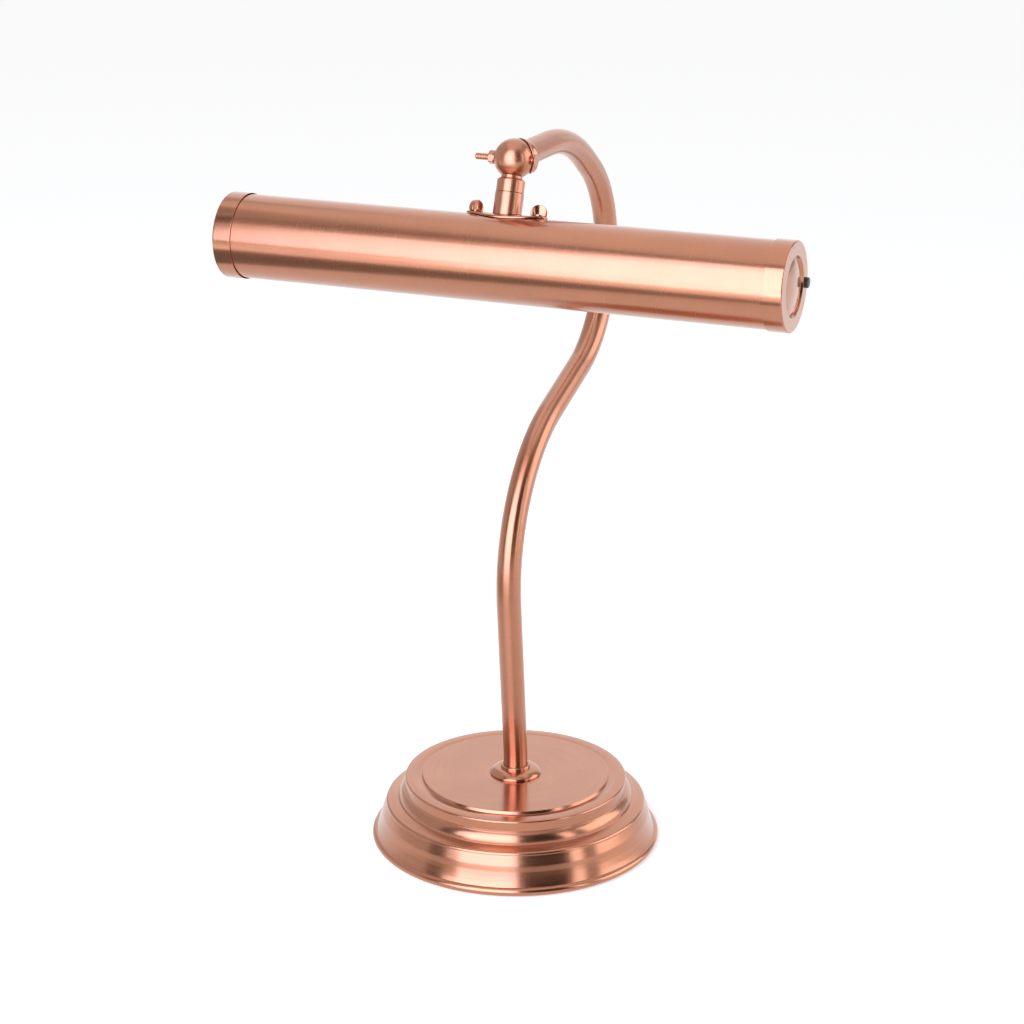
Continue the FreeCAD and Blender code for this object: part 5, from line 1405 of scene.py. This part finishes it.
    def build(self) -> None:
        """Make the shade's pieces and dress the lamps and wiring that it holds."""
        self.tube()
        self.caps()
        self.button()
        self.saddle()
        self.sleeve()
        for side in ("left", "right"):
            self.thumb(side)
            self.finishes.dress(f"lampholder_{side}", "porcelain")
            self.finishes.dress(f"bulb_cap_{side}", "lamp_metal")
            self.finishes.dress(f"bulb_glass_{side}", "glass")
            self.finishes.dress(f"filament_{side}", "filament")
        inner = {
            "clamp_bar": "zinc", "lampholder_bracket": "zinc", "holder_nipples": "zinc",
            "holder_nuts": "zinc", "switch_body": "phenolic", "lamp_leads": "sheath", "switch_lead": "sheath",
        }
        for node, finish in inner.items():
            self.finishes.dress(node, finish)


@dataclass
class Studio:
    """Plain pale floor, soft lights, and cards that only the metal's reflections see."""

    lens: float = 86.83
    sensor: float = 36.0
    camera_place: tuple[float, float, float] = (536.7, -1309.6, 690.6)
    camera_right: tuple[float, float, float] = (0.9244, 0.3814, 0.0018)
    camera_up: tuple[float, float, float] = (-0.1233, 0.2945, 0.9477)
    # a little cooler than white, so that the highlights on the copper stay pale
    light_colour: tuple[float, float, float] = (0.95, 1.03, 1.26)
    world_light: float = 0.55
    floor_reach: float = 6000.0
    wall_centre: tuple[float, float, float] = (0.0, 0.0, 150.0)

    def camera(self) -> None:
        """The camera at the photograph's viewing angle."""
        data = bpy.data.cameras.new("camera")
        data.lens, data.sensor_width, data.clip_end = self.lens, self.sensor, 50.0
        camera = bpy.data.objects.new("camera", data)
        right, up = Vector(self.camera_right).normalized(), Vector(self.camera_up)
        back = right.cross(up).normalized()
        up = back.cross(right)
        camera.matrix_world = Matrix.LocRotScale(
            Vector(self.camera_place) * MM, Matrix((right, up, back)).transposed(), None)
        bpy.context.scene.collection.objects.link(camera)
        bpy.context.scene.camera = camera

    def seen(self, owner: bpy.types.Material | bpy.types.World) -> bpy.types.NodeSocket:
        """One for rays of the camera, of a reflection and through glass, and nought for light."""
        shown = add_node(owner, "ShaderNodeLightPath").outputs
        total = shown["Is Camera Ray"]
        for name in ("Is Glossy Ray", "Is Transmission Ray"):
            total = add_node(owner, "ShaderNodeMath", {0: total, 1: shown[name]},
                             operation="MAXIMUM").outputs["Value"]
        return total

    def world(self) -> None:
        """A world that is white to the eye and in reflections, and softer as light."""
        world = bpy.data.worlds.new("studio")
        world.use_nodes = True
        bpy.context.scene.world = world
        level = add_node(world, "ShaderNodeMapRange", {"Value": self.seen(world), "To Min": self.world_light})
        background = world.node_tree.nodes["Background"]
        background.inputs["Color"].default_value = WHITE
        world.node_tree.links.new(level.outputs["Result"], background.inputs["Strength"])

    def flat_material(self, name: str, level: float, paint: float = 0.0) -> bpy.types.Material:
        """A card or floor: paint that takes shadow, and a plain glow to the eye and in reflections."""
        material, shader = new_material(name, Roughness=0.9, Base_Color=(paint, paint, paint, 1.0),
                                        Specular_IOR_Level=0.0, Emission_Color=WHITE)
        glow = add_node(material, "ShaderNodeMath", {0: self.seen(material), 1: level}, operation="MULTIPLY")
        material.node_tree.links.new(glow.outputs["Value"], shader.inputs["Emission Strength"])
        return material

    def sheet(self, name: str, points: np.ndarray, material: bpy.types.Material, seen: bool) -> None:
        """A stage mesh on a grid of points; where it isn't seen, only glossy rays meet it."""
        rows, columns = points.shape[:2]
        ids = np.arange(rows * columns).reshape(rows, columns)
        faces = np.stack([ids[:-1, :-1], ids[:-1, 1:], ids[1:, 1:], ids[1:, :-1]], axis=-1).reshape(-1, 4)
        mesh = bpy.data.meshes.new(name)
        mesh.from_pydata((points.reshape(-1, 3) * MM).tolist(), [], faces.tolist())
        mesh.materials.append(material)
        mesh.polygons.foreach_set("use_smooth", np.ones(len(faces), bool))
        card = bpy.data.objects.new(name, mesh)
        bpy.context.scene.collection.objects.link(card)
        if not seen:
            card.visible_camera = card.visible_diffuse = card.visible_shadow = False
            card.visible_transmission = card.visible_volume_scatter = False

    def wall(self, name: str, azimuths: tuple[float, float], elevations: tuple[float, float], level: float,
             distance: float = 3000.0) -> None:
        """A card on part of a sphere about the lamp.

        Azimuth runs from -Y towards +X, elevation from level upwards, both in degrees.
        """
        azimuth, elevation = np.meshgrid(np.radians(np.linspace(*azimuths, 24)),
                                         np.radians(np.linspace(*elevations, 16)), indexing="ij")
        ways = np.stack([np.sin(azimuth) * np.cos(elevation), -np.cos(azimuth) * np.cos(elevation),
                         np.sin(elevation)], axis=-1)
        points = np.array(self.wall_centre) + distance * ways
        self.sheet(name, points, self.flat_material(name, level), False)

    def card(self, name: str, corners: Sequence[tuple[float, float]], level: float) -> None:
        """A card that lies on the floor and that only reflections meet."""
        flat = np.array([[*corner, 1.0] for corner in corners])
        self.sheet(name, np.stack([flat[:2], flat[:1:-1]]), self.flat_material(name, level), False)

    def light(self, name: str, place: Sequence[float], size: tuple[float, float], radiance: float) -> None:
        """A soft box that faces +Y, unseen by the camera: its power is pi times area times radiance."""
        data = bpy.data.lights.new(name, "AREA")
        data.shape = "RECTANGLE"
        data.size, data.size_y = size[0] * MM, size[1] * MM
        data.energy = radiance * math.pi * data.size * data.size_y
        data.color = self.light_colour
        lamp = bpy.data.objects.new(name, data)
        lamp.location = Vector(place) * MM
        lamp.rotation_euler = Vector((0.0, 1.0, 0.0)).to_track_quat("-Z", "Y").to_euler()
        lamp.visible_camera = False
        bpy.context.scene.collection.objects.link(lamp)

    def build(self) -> None:
        """Set up the camera, the world, the floor, the lights and the cards."""
        self.camera()
        self.world()
        bpy.context.scene.view_settings.view_transform = "Standard"
        reach = self.floor_reach
        floor = np.array([[[x, y, 0.0] for y in (reach, -reach)] for x in (reach, -reach)])
        self.sheet("floor", floor, self.flat_material("pale_floor", 0.5, 0.8), True)
        # soft boxes in front: middle, width and height, radiance
        self.light("front_high", (-15, -1200, 1135), (1090, 1730), 3.4)
        self.light("front_left", (-705, -1200, 885), (290, 1230), 2.6)
        self.light("front_low", (0, -1200, 150), (1060, 240), 2.9)
        # the room that the metal mirrors: azimuths, elevations, level, and the distance of a window
        low, high, sill, lintel, near = -3.0, 56.0, -1.0, 40.0, 2500.0
        self.wall("front_dark_left", (-52.0, -15.0), (low, high), 0.16)
        self.wall("front_dark_right", (-15.0, 67.0), (low, high), 0.05)
        self.wall("front_gap", (-90.0, 90.0), (high, 62.5), 0.36)
        self.wall("left_side", (-135.0, -52.0), (low, high), 0.62)
        self.wall("right_side", (67.0, 160.0), (low, high), 0.45)
        self.wall("right_window", (69.0, 79.0), (sill, lintel), 2.4, near)
        self.wall("back_window", (92.0, 138.0), (sill, lintel), 2.2, near)
        # the table in front of the lamp: corners and level
        self.card("floor_dark", [(-900, 372), (130, -640), (130, -720), (-900, -690)], 0.26)
        self.card("floor_bright", [(-900, -690), (800, -740), (800, -1190), (-900, -1190)], 1.45)
        self.card("floor_near", [(-900, 372), (130, -640), (900, 900), (-900, 900)], 0.92)
        self.card("floor_right", [(130, -720), (800, -740), (900, 900), (130, -640)], 0.92)


def main() -> None:
    """Build the lamp, its stage and its camera."""
    logging.basicConfig(level=logging.INFO, format="%(name)s: %(message)s")
    finishes = Finishes()
    Studio().build()
    Base(finishes).build()
    Stem(finishes).build()
    Knuckle(finishes).build()
    Shade(finishes).build()


if __name__ == "__main__":
    main()
